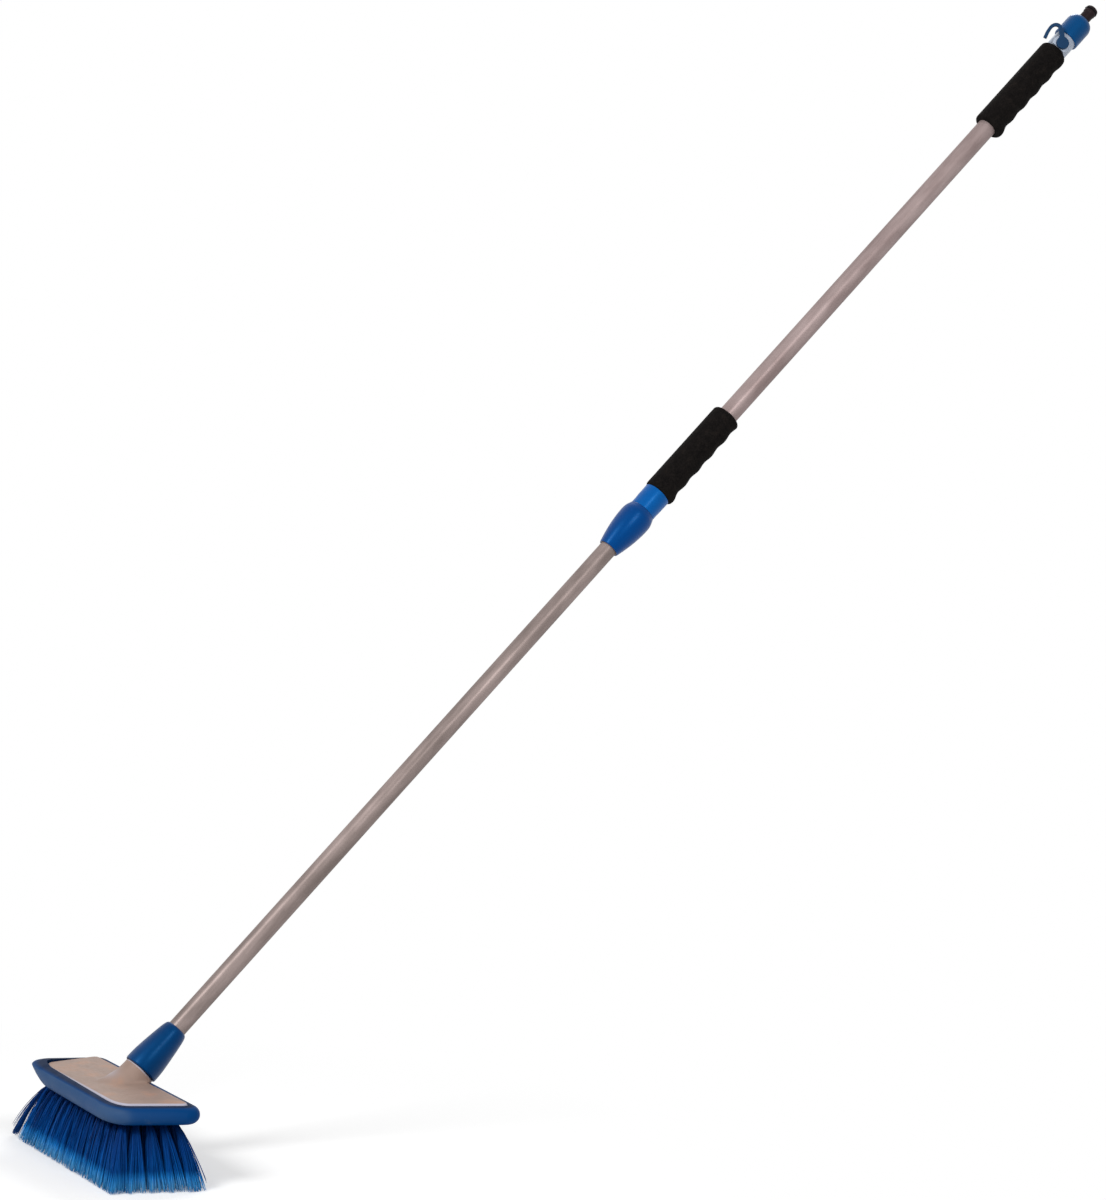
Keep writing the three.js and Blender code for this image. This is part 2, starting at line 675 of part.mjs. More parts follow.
const housingFoot = rearGripTop + GAP;
const housingTop = housingFoot + HOUSING_HEIGHT;
const hubAxis = housingFoot + HUB_RISE;
const domeFoot = housingFoot + DOME_FOOT_RISE;
const domeTop = domeFoot + DOME_HEIGHT;
const seatFace = BALL_RADIUS - SEAT_THICKNESS / 2 - GAP; // the seats' near faces, from the hub's axis

// Where a seat's cone meets the ball at a radius, as a height from the hub's axis.
function ballHeight(radius) {
  return Math.sqrt((BALL_RADIUS + GAP) ** 2 - radius ** 2);
}

// Turns a body made along Z to lie along X at the height of the lever's axis.
function onHub(geometry) {
  return geometry.rotateY(Math.PI / 2).translate(0, 0, hubAxis);
}

const seatOuter = CAVITY_RADIUS - GAP;
const seatWaist = Math.sqrt((BALL_RADIUS + GAP) ** 2 - seatFace ** 2);
const seatBack = seatFace + SEAT_THICKNESS;

function seat(side) {
  const profile = [
    [SEAT_INNER_RADIUS, -seatBack],
    [seatOuter, -seatBack],
    [seatOuter, -seatFace],
    [seatWaist, -seatFace],
    [SEAT_INNER_RADIUS, -ballHeight(SEAT_INNER_RADIUS)],
  ];
  const ring = turned(profile);
  if (side > 0) ring.rotateX(Math.PI);
  return ring.translate(0, 0, hubAxis);
}

function valveHousing() {
  const plug = rod(outerTubeBore - GAP, housingFoot - HOUSING_PLUG, housingFoot + CUT);
  const drum = rod(HOUSING_RADIUS, housingFoot, housingTop, FINE);
  const reach = BOSS_RADIUS + CUT;
  const boss = solid(onHub(rod(BOSS_RADIUS, 0, BOSS_REACH)))
    .intersect(solid(box(0, BOSS_REACH + CUT, -reach, reach, housingFoot, housingTop)));
  const grooveMiddle = housingFoot - HOUSING_PLUG / 2;
  const groove = sleeve(
    outerTubeBore - GAP - ringGroove,
    OUTER_TUBE_RADIUS,
    grooveMiddle - ringGroove / 2,
    grooveMiddle + ringGroove / 2,
  );
  const water = rod(SEAT_INNER_RADIUS, housingFoot - HOUSING_PLUG - CUT, hubAxis, SMALL);
  const cavity = rod(CAVITY_RADIUS, hubAxis - seatBack - GAP, housingTop + CUT);
  const stemBore = onHub(rod(STEM_RADIUS + GAP, 0, BOSS_REACH + CUT, SMALL));
  return solid(plug).add(solid(drum)).add(boss)
    .subtract(solid(groove)).subtract(solid(water)).subtract(solid(cavity)).subtract(solid(stemBore));
}

function valveBall() {
  const ball = new THREE.SphereGeometry(BALL_RADIUS, 20, 12).rotateX(Math.PI / 2);
  const reach = BALL_RADIUS + CUT;
  const bore = rod(BALL_BORE, -reach, reach, SMALL).rotateX(Math.PI / 2);
  const half = TANG_THICKNESS / 2 + GAP;
  const slot = box(BALL_RADIUS - TANG_DEPTH - GAP, reach, -half, half, -reach, reach);
  return solid(ball.translate(0, 0, hubAxis))
    .subtract(solid(bore.translate(0, 0, hubAxis)))
    .subtract(solid(slot.translate(0, 0, hubAxis)));
}

const leverBottom = BOSS_REACH + GAP;
const leverTop = leverBottom + HUB_THICKNESS;
const stemRingPlace = (CAVITY_RADIUS + BOSS_REACH) / 2 + 1;
const stemShoulder = BALL_RADIUS + GAP;

function valveStem() {
  const grooveHalf = STEM_RING_SECTION / 2 + GAP;
  const grooveRadius = STEM_RADIUS - STEM_RING_SECTION / 2;
  const shaft = turned([
    [0, stemShoulder],
    [STEM_RADIUS, stemShoulder],
    [STEM_RADIUS, stemRingPlace - grooveHalf],
    [grooveRadius, stemRingPlace - grooveHalf],
    [grooveRadius, stemRingPlace + grooveHalf],
    [STEM_RADIUS, stemRingPlace + grooveHalf],
    [STEM_RADIUS, leverBottom - GAP],
    [0, leverBottom - GAP],
  ], SMALL);
  const half = TANG_THICKNESS / 2;
  const tang = box(BALL_RADIUS - TANG_DEPTH, stemShoulder + CUT, -half, half, -2.4, 2.4);
  const side = STEM_SQUARE / 2;
  const square = box(leverBottom - CUT, leverTop - 1.5, -side, side, -side, side);
  return solid(onHub(shaft))
    .add(solid(tang.translate(0, 0, hubAxis)))
    .add(solid(square.translate(0, 0, hubAxis)));
}

// Hub, arm and the open hook for a finger, lying across the pole when the valve is shut.
function valveLever() {
  const thickness = { depth: HUB_THICKNESS, bevelEnabled: false, curveSegments: 5 };
  const hub = onHub(turned([
    [0, leverBottom],
    [HUB_RADIUS, leverBottom],
    [HUB_RADIUS, leverTop - 1],
    [HUB_RADIUS - 1, leverTop],
    [0, leverTop],
  ], PLAIN));
  const crook = new THREE.CatmullRomCurve3([
    new THREE.Vector3(0, -12.6, 12.6),
    new THREE.Vector3(0, -17.6, 14.8),
    new THREE.Vector3(0, -22, 12.6),
    new THREE.Vector3(0, -24.3, 7.2),
    new THREE.Vector3(0, -23.4, -0.4),
    new THREE.Vector3(0, -21.3, -9.2),
  ]);
  const half = HOOK_WIDTH / 2;
  const rise = HUB_THICKNESS / 2;
  const chamfer = 0.9;
  const section = new THREE.Shape([
    new THREE.Vector2(-rise + chamfer, -half),
    new THREE.Vector2(rise - chamfer, -half),
    new THREE.Vector2(rise, -half + chamfer),
    new THREE.Vector2(rise, half - chamfer),
    new THREE.Vector2(rise - chamfer, half),
    new THREE.Vector2(-rise + chamfer, half),
    new THREE.Vector2(-rise, half - chamfer),
    new THREE.Vector2(-rise, -half + chamfer),
  ]);
  const hook = new THREE.ExtrudeGeometry(section, { steps: 18, extrudePath: crook, bevelEnabled: false })
    .translate((leverBottom + leverTop) / 2, 0, hubAxis);
  const root = crook.getPoint(0.06);
  const armShape = new THREE.Shape([
    new THREE.Vector2(ARM_WIDTH / 2, 0),
    new THREE.Vector2(HOOK_WIDTH / 2, Math.hypot(root.y, root.z)),
    new THREE.Vector2(-HOOK_WIDTH / 2, Math.hypot(root.y, root.z)),
    new THREE.Vector2(-ARM_WIDTH / 2, 0),
  ]);
  const arm = new THREE.ExtrudeGeometry(armShape, thickness)
    .rotateX(Math.PI / 2).rotateZ(Math.PI / 2)
    .rotateX(Math.atan2(-root.y, root.z))
    .translate(leverBottom, 0, hubAxis);
  const side = STEM_SQUARE / 2 + GAP;
  const socket = box(leverBottom - CUT, leverTop - 1.2, -side, side, -side, side);
  return solid(hub).add(solid(arm)).add(solid(hook)).subtract(solid(socket.translate(0, 0, hubAxis)));
}

// The blue cap over the housing, with the upper seat's holder inside.
const holderBottom = hubAxis + seatBack + GAP;
const nippleFloor = domeTop - NIPPLE_STEM;

function valveDome() {
  const steps = 5;
  const shoulder = [];
  for (let i = 1; i <= steps; i += 1) {
    const turn = (i / steps) * (Math.PI / 2);
    shoulder.push([
      DOME_TOP_RADIUS + (DOME_RADIUS - DOME_TOP_RADIUS) * Math.cos(turn),
      domeTop - DOME_SHOULDER * (1 - Math.sin(turn)),
    ]);
  }
  const outer = turned([
    [0, domeFoot],
    [DOME_RADIUS - 0.8, domeFoot],
    [DOME_RADIUS, domeFoot + 1],
    [DOME_RADIUS, domeTop - DOME_SHOULDER],
    ...shoulder,
    [0, domeTop],
  ], FINE);
  const hollow = rod(HOUSING_RADIUS + GAP, domeFoot - CUT, housingTop + GAP, FINE);
  const holder = rod(seatOuter, holderBottom, housingTop + CUT);
  const water = rod(BALL_BORE, holderBottom - CUT, nippleFloor + CUT, SMALL);
  const seatHole = rod(NIPPLE_RADIUS - 1 + GAP, nippleFloor, domeTop + CUT);
  return solid(outer).subtract(solid(hollow)).add(solid(holder))
    .subtract(solid(water)).subtract(solid(seatHole));
}

const nippleTop = domeTop + NIPPLE_LENGTH;

function hoseNipple() {
  const stem = NIPPLE_RADIUS - 1;
  const headBottom = nippleTop - NIPPLE_HEAD_LENGTH;
  const grooveBottom = nippleTop - NIPPLE_HEAD_LENGTH / 2 - NIPPLE_GROOVE / 2;
  return turned([
    [stem, nippleFloor + GAP],
    [stem, domeTop + GAP],
    [NIPPLE_RADIUS, domeTop + GAP],
    [NIPPLE_RADIUS, headBottom - 1.5],
    [NIPPLE_HEAD_RADIUS, headBottom],
    [NIPPLE_HEAD_RADIUS, grooveBottom],
    [NIPPLE_HEAD_RADIUS - NIPPLE_GROOVE / 2, grooveBottom],
    [NIPPLE_HEAD_RADIUS - NIPPLE_GROOVE / 2, grooveBottom + NIPPLE_GROOVE],
    [NIPPLE_HEAD_RADIUS, grooveBottom + NIPPLE_GROOVE],
    [NIPPLE_HEAD_RADIUS, nippleTop - 1.2],
    [NIPPLE_HEAD_RADIUS - 1.2, nippleTop],
    [NIPPLE_BORE, nippleTop],
    [NIPPLE_BORE, nippleFloor + GAP],
  ]);
}

const plugRingPlace = housingFoot - HOUSING_PLUG / 2;
const stemRingMiddle = STEM_RADIUS + GAP / 2 - STEM_RING_SECTION / 4;
const nippleRingSection = NIPPLE_GROOVE - 2 * GAP;
const nippleRingMiddle = NIPPLE_HEAD_RADIUS - NIPPLE_GROOVE / 2 + GAP + nippleRingSection / 2;

part('valve_housing', valveHousing(), paint.housing, handle);
part('housing_ring', ringSeal(tubeRingMiddle, PISTON_RING_SECTION, plugRingPlace), paint.rubber, handle);
part('lower_seat', seat(-1), paint.white, handle);
part('upper_seat', seat(1), paint.white, handle);
part('valve_ball', valveBall(), paint.steel, handle);
part('valve_stem', valveStem(), paint.white, handle);
const stemRing = ringSeal(stemRingMiddle, STEM_RING_SECTION / 2, stemRingPlace, SMALL);
part('stem_ring', onHub(stemRing), paint.rubber, handle);
part('valve_lever', valveLever(), paint.lever, handle);
part('valve_dome', valveDome(), paint.valve, handle);
part('hose_nipple', hoseNipple(), paint.nipple, handle);
const nippleRing = ringSeal(nippleRingMiddle, nippleRingSection, nippleTop - NIPPLE_HEAD_LENGTH / 2);
part('nipple_ring', nippleRing, paint.rubber, handle);

export default washBrush;
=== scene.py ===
"""Looks of a telescopic water-fed wash brush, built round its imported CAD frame.

The frame gives the places. Pieces on the pole are made in the pole's own axes, where Z runs up the
pole from its foot on the brush head, and are then put in place with one matrix. Lengths that carry MM
are in metres, for use in the world's axes. Lengths without it are in mm, for use in the pole's axes.
"""

import json
import math
import random

import bmesh
import bpy
from mathutils import Matrix, Vector, noise


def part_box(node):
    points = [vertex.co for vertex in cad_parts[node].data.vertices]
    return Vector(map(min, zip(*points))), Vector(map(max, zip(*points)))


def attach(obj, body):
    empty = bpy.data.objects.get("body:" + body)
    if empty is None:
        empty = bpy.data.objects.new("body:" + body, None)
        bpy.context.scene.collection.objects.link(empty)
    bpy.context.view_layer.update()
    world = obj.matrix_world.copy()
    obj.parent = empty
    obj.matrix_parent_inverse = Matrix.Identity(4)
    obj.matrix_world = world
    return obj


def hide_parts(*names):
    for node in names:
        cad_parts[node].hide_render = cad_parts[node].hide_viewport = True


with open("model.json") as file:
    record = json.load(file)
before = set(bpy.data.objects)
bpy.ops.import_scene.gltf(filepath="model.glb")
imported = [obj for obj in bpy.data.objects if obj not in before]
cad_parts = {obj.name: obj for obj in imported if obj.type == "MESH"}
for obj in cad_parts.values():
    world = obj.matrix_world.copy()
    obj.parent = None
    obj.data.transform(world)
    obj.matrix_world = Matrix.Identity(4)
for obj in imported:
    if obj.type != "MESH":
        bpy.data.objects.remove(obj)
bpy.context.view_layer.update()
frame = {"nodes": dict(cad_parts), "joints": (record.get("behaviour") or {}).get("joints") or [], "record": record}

MM = 0.001
TURN = 2 * math.pi


# ------------------------------------------------------------------------------------ axes

SHELL_HEIGHT = 14 * MM
SHELL_SEAT = 9.3 * MM  # from the tuft plate's underside to the shell's rim

joints = {joint["name"]: joint for joint in frame["joints"]}
pole_dir = Vector(joints["inner_slide"]["axis"]).normalized()
hub_dir = Vector(joints["valve_turn"]["axis"]).normalized()
plate_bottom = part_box("bristle_block")[0].z
shell_bottom = plate_bottom + SHELL_SEAT
shell_top = shell_bottom + SHELL_HEIGHT
on_axis = Vector(joints["inner_turn"]["pos_m"])
foot = on_axis - pole_dir * ((on_axis.z - shell_top) / pole_dir.z)


def axes(z_dir, x_dir, origin):
    """The matrix that takes local axes to a place in the frame."""
    y_dir = z_dir.cross(x_dir).normalized()
    rotation = Matrix((x_dir, y_dir, z_dir)).transposed().to_4x4()
    return Matrix.Translation(origin) @ rotation


POLE = axes(pole_dir, Vector((1, 0, 0)), foot)
HANDLE = axes(pole_dir, hub_dir, foot)
WORLD = Matrix.Identity(4)


def span(node):
    """How far up the pole, in mm from its foot, a CAD node starts and ends."""
    heights = [(v.co - foot).dot(pole_dir) / MM for v in frame["nodes"][node].data.vertices]
    return min(heights), max(heights)


# ------------------------------------------------------------------------------------ materials

# A noise's scale is how many of its patches fit in a metre. A pair of places on a ramp, or of
# levels read from a noise, says how much of the pattern goes to either end.

PLASTIC_GRAIN = 0.05 * MM
RUBBER_GRAIN = 0.06 * MM
DRAWN_LINES = 0.02 * MM
FOAM_PITS = 0.35 * MM
BLUE_GLOSS = (0.03, 0.36, 0.9, 1)


def srgb(r, g, b):
    """A colour written 0 to 255, as the linear values that a shader takes."""

    def linear(c):
        c /= 255
        return c / 12.92 if c <= 0.04045 else ((c + 0.055) / 1.055) ** 2.4

    return (linear(r), linear(g), linear(b), 1.0)


def grey(level):
    return (level, level, level, 1)


def scaled(colour, factor):
    return tuple(min(1, c * factor) for c in colour[:3]) + (1,)


class Shader:
    """A material under construction: one Principled shader and what feeds it."""

    def __init__(self, name, **settings):
        self.material = bpy.data.materials.new(name)
        self.material.use_nodes = True
        self.tree = self.material.node_tree
        self.principled = self.tree.nodes["Principled BSDF"]
        for socket, value in settings.items():
            self.principled.inputs[socket.replace("_", " ")].default_value = value
        self.coordinates = self.add("ShaderNodeTexCoord").outputs["Object"]

    def add(self, kind, **inputs):
        node = self.tree.nodes.new(kind)
        for socket, value in inputs.items():
            self.feed(node.inputs[socket.replace("_", " ")], value)
        return node

    def feed(self, socket, value):
        if isinstance(value, bpy.types.NodeSocket):
            self.tree.links.new(value, socket)
        else:
            socket.default_value = value

    def stretched(self, x, y, z):
        """Object coordinates in which a pattern is so many times finer along each axis."""
        return self.add("ShaderNodeMapping", Vector=self.coordinates, Scale=(x, y, z)).outputs[0]

    def noise(self, scale, detail=3.0, roughness=0.55, along=None):
        node = self.add("ShaderNodeTexNoise", Scale=scale, Detail=detail, Roughness=roughness)
        self.feed(node.inputs["Vector"], along or self.coordinates)
        return node.outputs["Fac"]

    def ramp(self, value, stops):
        """value read through a colour ramp of (place, colour) stops."""
        node = self.add("ShaderNodeValToRGB", Fac=value)
        elements = node.color_ramp.elements
        while len(elements) < len(stops):
            elements.new(0.5)
        for element, (place, colour) in zip(elements, stops):
            element.position = place
            element.color = colour
        return node.outputs["Color"]

    def levels(self, value, low, high, out_low, out_high):
        """value with low to high spread over out_low to out_high, and kept within them."""
        limits = {"From_Min": low, "From_Max": high, "To_Min": out_low, "To_Max": out_high}
        return self.add("ShaderNodeMapRange", Value=value, **limits).outputs[0]

    def maths(self, operation, a, b):
        node = self.tree.nodes.new("ShaderNodeMath")
        node.operation = operation
        self.feed(node.inputs[0], a)
        self.feed(node.inputs[1], b)
        return node.outputs[0]

    def mix(self, factor, a, b, blend="MIX"):
        node = self.tree.nodes.new("ShaderNodeMix")
        node.data_type = "RGBA"
        node.blend_type = blend
        for socket, value in ((0, factor), (6, a), (7, b)):
            self.feed(node.inputs[socket], value)
        return node.outputs[2]

    def times(self, a, b):
        return self.mix(1.0, a, b, "MULTIPLY")

    def attribute(self, name):
        node = self.add("ShaderNodeAttribute")
        node.attribute_name = name
        return node.outputs["Fac"]

    def colour(self, value):
        self.feed(self.principled.inputs["Base Color"], value)

    def rough(self, value):
        self.feed(self.principled.inputs["Roughness"], value)

    def bump(self, height, strength, distance):
        node = self.add("ShaderNodeBump", Height=height, Strength=strength, Distance=distance)
        self.feed(self.principled.inputs["Normal"], node.outputs[0])


def moulded(
    name, colour, roughness, mottle=0.12, coat=0.0, gloss=0.35, warm=None, rim=None, sheer=grey(1)
):
    """Injection-moulded plastic: fine spark grain, faint flow marks and handling scuffs.

    warm is the colour of its lightest marks, rim the colour of painted highlights where the mesh's own rim
    attribute is 1, and sheer the tint of its gloss.
    """
    shine = {"Specular_IOR_Level": gloss, "Specular_Tint": sheer}
    shader = Shader(name, Roughness=roughness, Coat_Weight=coat, Coat_Roughness=0.2, **shine)
    flow = shader.noise(28, detail=4, along=shader.stretched(1, 1, 0.45))
    dark = scaled(colour, 1 - mottle)
    light = warm or scaled(colour, 1 + mottle)
    tint = shader.ramp(flow, [(0.3, dark), (0.5, colour), (0.72, light)])
    # Where the rim attribute is set, the tint gives way to rim: painted highlight colour.
    shader.colour(shader.mix(shader.attribute("rim"), tint, rim) if rim else tint)
    scuff = shader.noise(160, detail=6, roughness=0.7)
    shader.rough(shader.levels(scuff, 0.35, 0.7, roughness - 0.06, roughness + 0.12))
    shader.bump(shader.noise(2600, detail=2), 0.35, PLASTIC_GRAIN)
    return shader.material


def rubber(name, colour, wear_and_light, painted_front_light=False, gap_shade=None):
    """Soft rubber: powdery and paler where it is rubbed. If painted_front_light, its front face is greyer too, as
    painted light, while its upward faces keep the darker colour as painted shade.

    seam is the colour of painted shade where the mesh's own seam attribute is 1.
    """
    shader = Shader(name, Roughness=0.55, Specular_IOR_Level=0.06)
    rubbed = shader.noise(45, detail=5, roughness=0.62)
    tint = shader.ramp(rubbed, [(0.42, colour), (0.62, colour), (0.9, wear_and_light)])
    # The front face, but not faces turned up, takes the pale colour: painted light from the lamps on that side,
    # with the upward faces left dark as painted shade.
    if painted_front_light:
        facing = shader.add("ShaderNodeSeparateXYZ")
        shader.feed(facing.inputs[0], shader.add("ShaderNodeTexCoord").outputs["Normal"])
        front = shader.levels(facing.outputs["Y"], -0.12, -0.5, 0.0, 1.0)
        under = shader.levels(facing.outputs["Z"], 0.97, 0.75, 0.0, 1.0)
        patchy = shader.levels(shader.noise(18, detail=4), 0.25, 0.6, 0.6, 1.0)
        tint = shader.mix(shader.times(shader.times(front, under), patchy), tint, wear_and_light)
    shader.colour(shader.mix(shader.attribute("gap_shade"), tint, gap_shade) if gap_shade else tint)
    shader.rough(shader.levels(rubbed, 0.3, 0.7, 0.46, 0.62))
    shader.bump(shader.noise(1500, detail=3), 0.3, RUBBER_GRAIN)
    return shader.material


def anodised(name, dark, light):
    """Drawn aluminium tube, anodised: fine lines along the tube and clouds in the tint."""
    shader = Shader(name, Metallic=0.3, Specular_IOR_Level=0.15, Specular_Tint=(0.4, 0.35, 0.35, 1))
    lines = shader.noise(1, detail=5, roughness=0.7, along=shader.stretched(1500, 1500, 9))
    clouds = shader.noise(1, detail=3, along=shader.stretched(60, 60, 14))
    tint = shader.ramp(clouds, [(0.35, dark), (0.7, light)])
    shader.colour(shader.times(tint, shader.ramp(lines, [(0.25, grey(0.88)), (0.75, grey(1.07))])))
    shader.rough(shader.levels(lines, 0.3, 0.7, 0.35, 0.45))
    shader.bump(lines, 0.12, DRAWN_LINES)
    return shader.material


def foam(name, colour, pore, bloom):
    """Closed-cell foam: a pitted skin, darkened in each pit as painted shade, with a dull bloom."""
    shader = Shader(name, Roughness=0.92, Specular_IOR_Level=0.08)
    voronoi = shader.add("ShaderNodeTexVoronoi", Scale=900.0, Vector=shader.coordinates)
    cells = voronoi.outputs["Distance"]
    clouds = shader.noise(120, detail=5, roughness=0.65)
    skin = shader.ramp(clouds, [(0.3, pore), (0.55, colour), (0.85, bloom)])
    dents = shader.ramp(shader.noise(420, detail=3), [(0.35, grey(0.65)), (0.65, grey(1.3))])
    # Darker towards the middle of each cell, where the bump sinks: painted shade inside each pit.
    pit_shade = shader.ramp(cells, [(0.0, grey(0.45)), (0.35, grey(1))])
    shader.colour(shader.times(shader.times(skin, dents), pit_shade))
    shader.bump(shader.maths("ADD", cells, clouds), 0.6, FOAM_PITS)
    return shader.material


def bristles(name):
    """Synthetic filament: dark at the block, paler over the split tips, each strand its own shade."""
    shader = Shader(name, Roughness=0.5, Specular_IOR_Level=0.08)
    along = shader.attribute("along")
    shade = shader.attribute("shade")
    length_stops = [
        (0.0, srgb(0, 47, 112)),
        (0.45, srgb(0, 70, 146)),
        (0.70, srgb(0, 82, 160)),
        (0.80, srgb(34, 138, 216)),
        (0.94, srgb(80, 184, 250)),
        (1.0, srgb(54, 152, 224)),
    ]
    own_stops = [(0.0, (0.45, 0.5, 0.58, 1)), (0.6, grey(1)), (1.0, (1.5, 1.4, 1.3, 1))]
    tint = shader.times(shader.ramp(along, length_stops), shader.ramp(shade, own_stops))
    split = shader.levels(along, 0.78, 0.93, 0.0, 0.6)
    pale = shader.maths("MULTIPLY", split, shader.levels(shade, 0.62, 0.9, 0.0, 1.0))
    shader.colour(shader.mix(pale, tint, srgb(160, 200, 222)))
    return shader.material


def polished(name, colour):
    """Plated metal with faint smears."""
    shader = Shader(name, Metallic=1.0, Roughness=0.12)
    smear = shader.noise(90, detail=4)
    shader.colour(shader.ramp(smear, [(0.3, colour), (0.8, (0.9, 0.9, 0.92, 1))]))
    shader.rough(shader.levels(smear, 0.3, 0.7, 0.08, 0.2))
    return shader.material


def blue(name, colour, roughness, mottle, coat, gloss):
    return moulded(name, colour, roughness, mottle, coat, gloss, sheer=BLUE_GLOSS)


# rim is the pale lavender of the shell's painted highlights; warm is the colour of its lightest mottling.
shell_tones = {"warm": srgb(186, 146, 124), "rim": srgb(192, 190, 206)}
# worn serves both the rubbed patches and the painted light on the bumper's front face; seam is the painted shade
# along its top, in the gap against the shell.
bumper_wear_and_light = {"wear_and_light": srgb(58, 86, 124), "painted_front_light": True, "gap_shade": srgb(4, 30, 62)}
looks = {
    "shell": moulded("shell", srgb(166, 142, 130), 0.45, mottle=0.1, gloss=0.2, **shell_tones),
    "bumper": rubber("bumper", srgb(0, 62, 120), **bumper_wear_and_light),
    "plate": moulded("plate", srgb(4, 42, 92), 0.55, gloss=0.1),
    "bristle": bristles("bristle"),
    "coupling_nut": blue("coupling_nut", srgb(0, 44, 92), 0.38, mottle=0.18, coat=0.03, gloss=0.6),
    # twist_lock and lock_neck are one plastic in two copies: the nut's darker one as painted shade, the sleeve's
    # lighter one as painted light for its broad highlight.
    "twist_lock": blue("twist_lock", srgb(0, 58, 124), 0.36, mottle=0.1, coat=0.04, gloss=0.6),
    "lock_neck": blue("lock_neck", srgb(6, 84, 158), 0.36, mottle=0.1, coat=0.04, gloss=0.7),
    "tube": anodised("tube", srgb(132, 119, 115), srgb(166, 150, 146)),
    "outer_tube": anodised("outer_tube", srgb(148, 130, 128), srgb(176, 158, 156)),
    "foam": foam("foam", srgb(22, 19, 18), pore=srgb(12, 10, 10), bloom=srgb(36, 30, 27)),
    "housing": moulded("housing", srgb(184, 194, 210), 0.35, mottle=0.05, gloss=0.2),
    "dome": blue("dome", srgb(4, 63, 114), 0.34, mottle=0.12, coat=0.06, gloss=0.6),
    "lever": blue("lever", srgb(37, 63, 95), 0.4, mottle=0.14, coat=0.0, gloss=0.2),
    "nipple": moulded("nipple", srgb(37, 25, 27), 0.4, mottle=0.25, gloss=0.1),
    "inner_plastic": moulded("inner_plastic", srgb(228, 228, 222), 0.4, mottle=0.03),
    "seal": rubber("seal", srgb(22, 22, 24), srgb(60, 60, 62)),
    "ball": polished("ball", (0.72, 0.73, 0.76, 1)),
}

slot_of = {part["node"]: part["material_slot"] for part in frame["record"]["subparts"]}
for node, obj in frame["nodes"].items():
    obj.data.materials.clear()
    obj.data.materials.append(looks[slot_of[node]])


# ------------------------------------------------------------------------------------ mesh tools

WELD = 1e-6
SHARP_FROM = math.radians(38)
LONGEST_CUT = 0.48  # of an edge, so that the arcs at its two ends stay apart


def linked(name, data):
    """A new object of data, in the scene."""
    obj = bpy.data.objects.new(name, data)
    bpy.context.scene.collection.objects.link(obj)
    return obj


def smooth(mesh):
    mesh.polygons.foreach_set("use_smooth", [True] * len(mesh.polygons))


def point_values(mesh, name, values):
    """Gives the mesh an attribute of its own, with one number per vertex."""
    mesh.attributes.new(name, "FLOAT", "POINT").data.foreach_set("value", values)


def settle(obj, body, replaces):
    """Shades a finished piece, hangs it on the empty of the body it rides on and hides the CAD parts it stands
    for.
    """
    smooth(obj.data)
    obj.data.set_sharp_from_angle(angle=SHARP_FROM)
    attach(obj, body)
    if replaces:
        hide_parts(*replaces)


def piece(name, verts, faces, slot, body, matrix=WORLD, replaces=()):
    """A new piece made in local metres and placed by matrix, settled if it has a body to ride on."""
    mesh = bpy.data.meshes.new(name)
    mesh.from_pydata(verts, [], faces)
    mesh.validate()
    tidy = bmesh.new()
    tidy.from_mesh(mesh)
    bmesh.ops.remove_doubles(tidy, verts=tidy.verts, dist=WELD)
    bmesh.ops.recalc_face_normals(tidy, faces=tidy.faces)
    tidy.to_mesh(mesh)
    tidy.free()
    obj = linked(name, mesh)
    obj.matrix_world = matrix
    mesh.materials.append(looks[slot])
    if body:
        settle(obj, body, replaces)
    return obj


def arc(start, corner, end, steps):
    """Points from start to end along a curve that bends towards corner."""
    shares = [k / steps for k in range(steps + 1)]
    return [start.lerp(corner, t).lerp(corner.lerp(end, t), t) for t in shares]


def softened(profile, radius=0.4):
    """A closed profile of [radius, height] in mm, with each corner turned into a small arc.

    A point may carry its own arc as a third number.
    """
    points = []
    for i, point in enumerate(profile):
        here = Vector(point[:2])
        back = Vector(profile[i - 1][:2]) - here
        ahead = Vector(profile[(i + 1) % len(profile)][:2]) - here
        reach = point[2] if len(point) > 2 else radius
        if reach == 0 or point[0] == 0:
            points.append(here)
            continue
        start = here + back.normalized() * min(reach, back.length * LONGEST_CUT)
        end = here + ahead.normalized() * min(reach, ahead.length * LONGEST_CUT)
        points += arc(start, here, end, 3)
    return points


def bands(rows, count, closed=False):
    """Faces between rings of count points each. closed joins the last ring to the first."""
    faces = []
    for i in range(rows if closed else rows - 1):
        n = (i + 1) % rows
        for j in range(count):
            k = (j + 1) % count
            faces.append((i * count + j, i * count + k, n * count + k, n * count + j))
    return faces


def turned_mesh(profile, segments=96, shape=None):
    """Vertices and faces of a closed profile turned about Z.

    shape(radius, height, angle) may return another radius there.
    """
    verts, faces = [], []
    for k in range(segments):
        angle = TURN * k / segments
        for r, z in profile:
            bent = shape(r, z, angle) if shape else r
            verts.append((bent * math.cos(angle) * MM, bent * math.sin(angle) * MM, z * MM))
    count = len(profile)
    for k in range(segments):
        here, there = k * count, ((k + 1) % segments) * count
        for i in range(count):
            j = (i + 1) % count
            faces.append((here + i, there + i, there + j, here + j))
    return verts, faces


def turned(name, profile, slot, body, matrix=POLE, replaces=(), corner=0.4):
    """A piece turned from a profile in mm about the pole."""
    return piece(name, *turned_mesh(softened(profile, corner)), slot, body, matrix, replaces)


def turned_in_place(name, profile, slot, body, matrix, replaces, segments):
    """As turned, but with the place in the mesh itself, so that the piece's box is tight."""
    verts, faces = turned_mesh(softened(profile), segments)
    piece(name, [matrix @ Vector(v) for v in verts], faces, slot, body, WORLD, replaces)


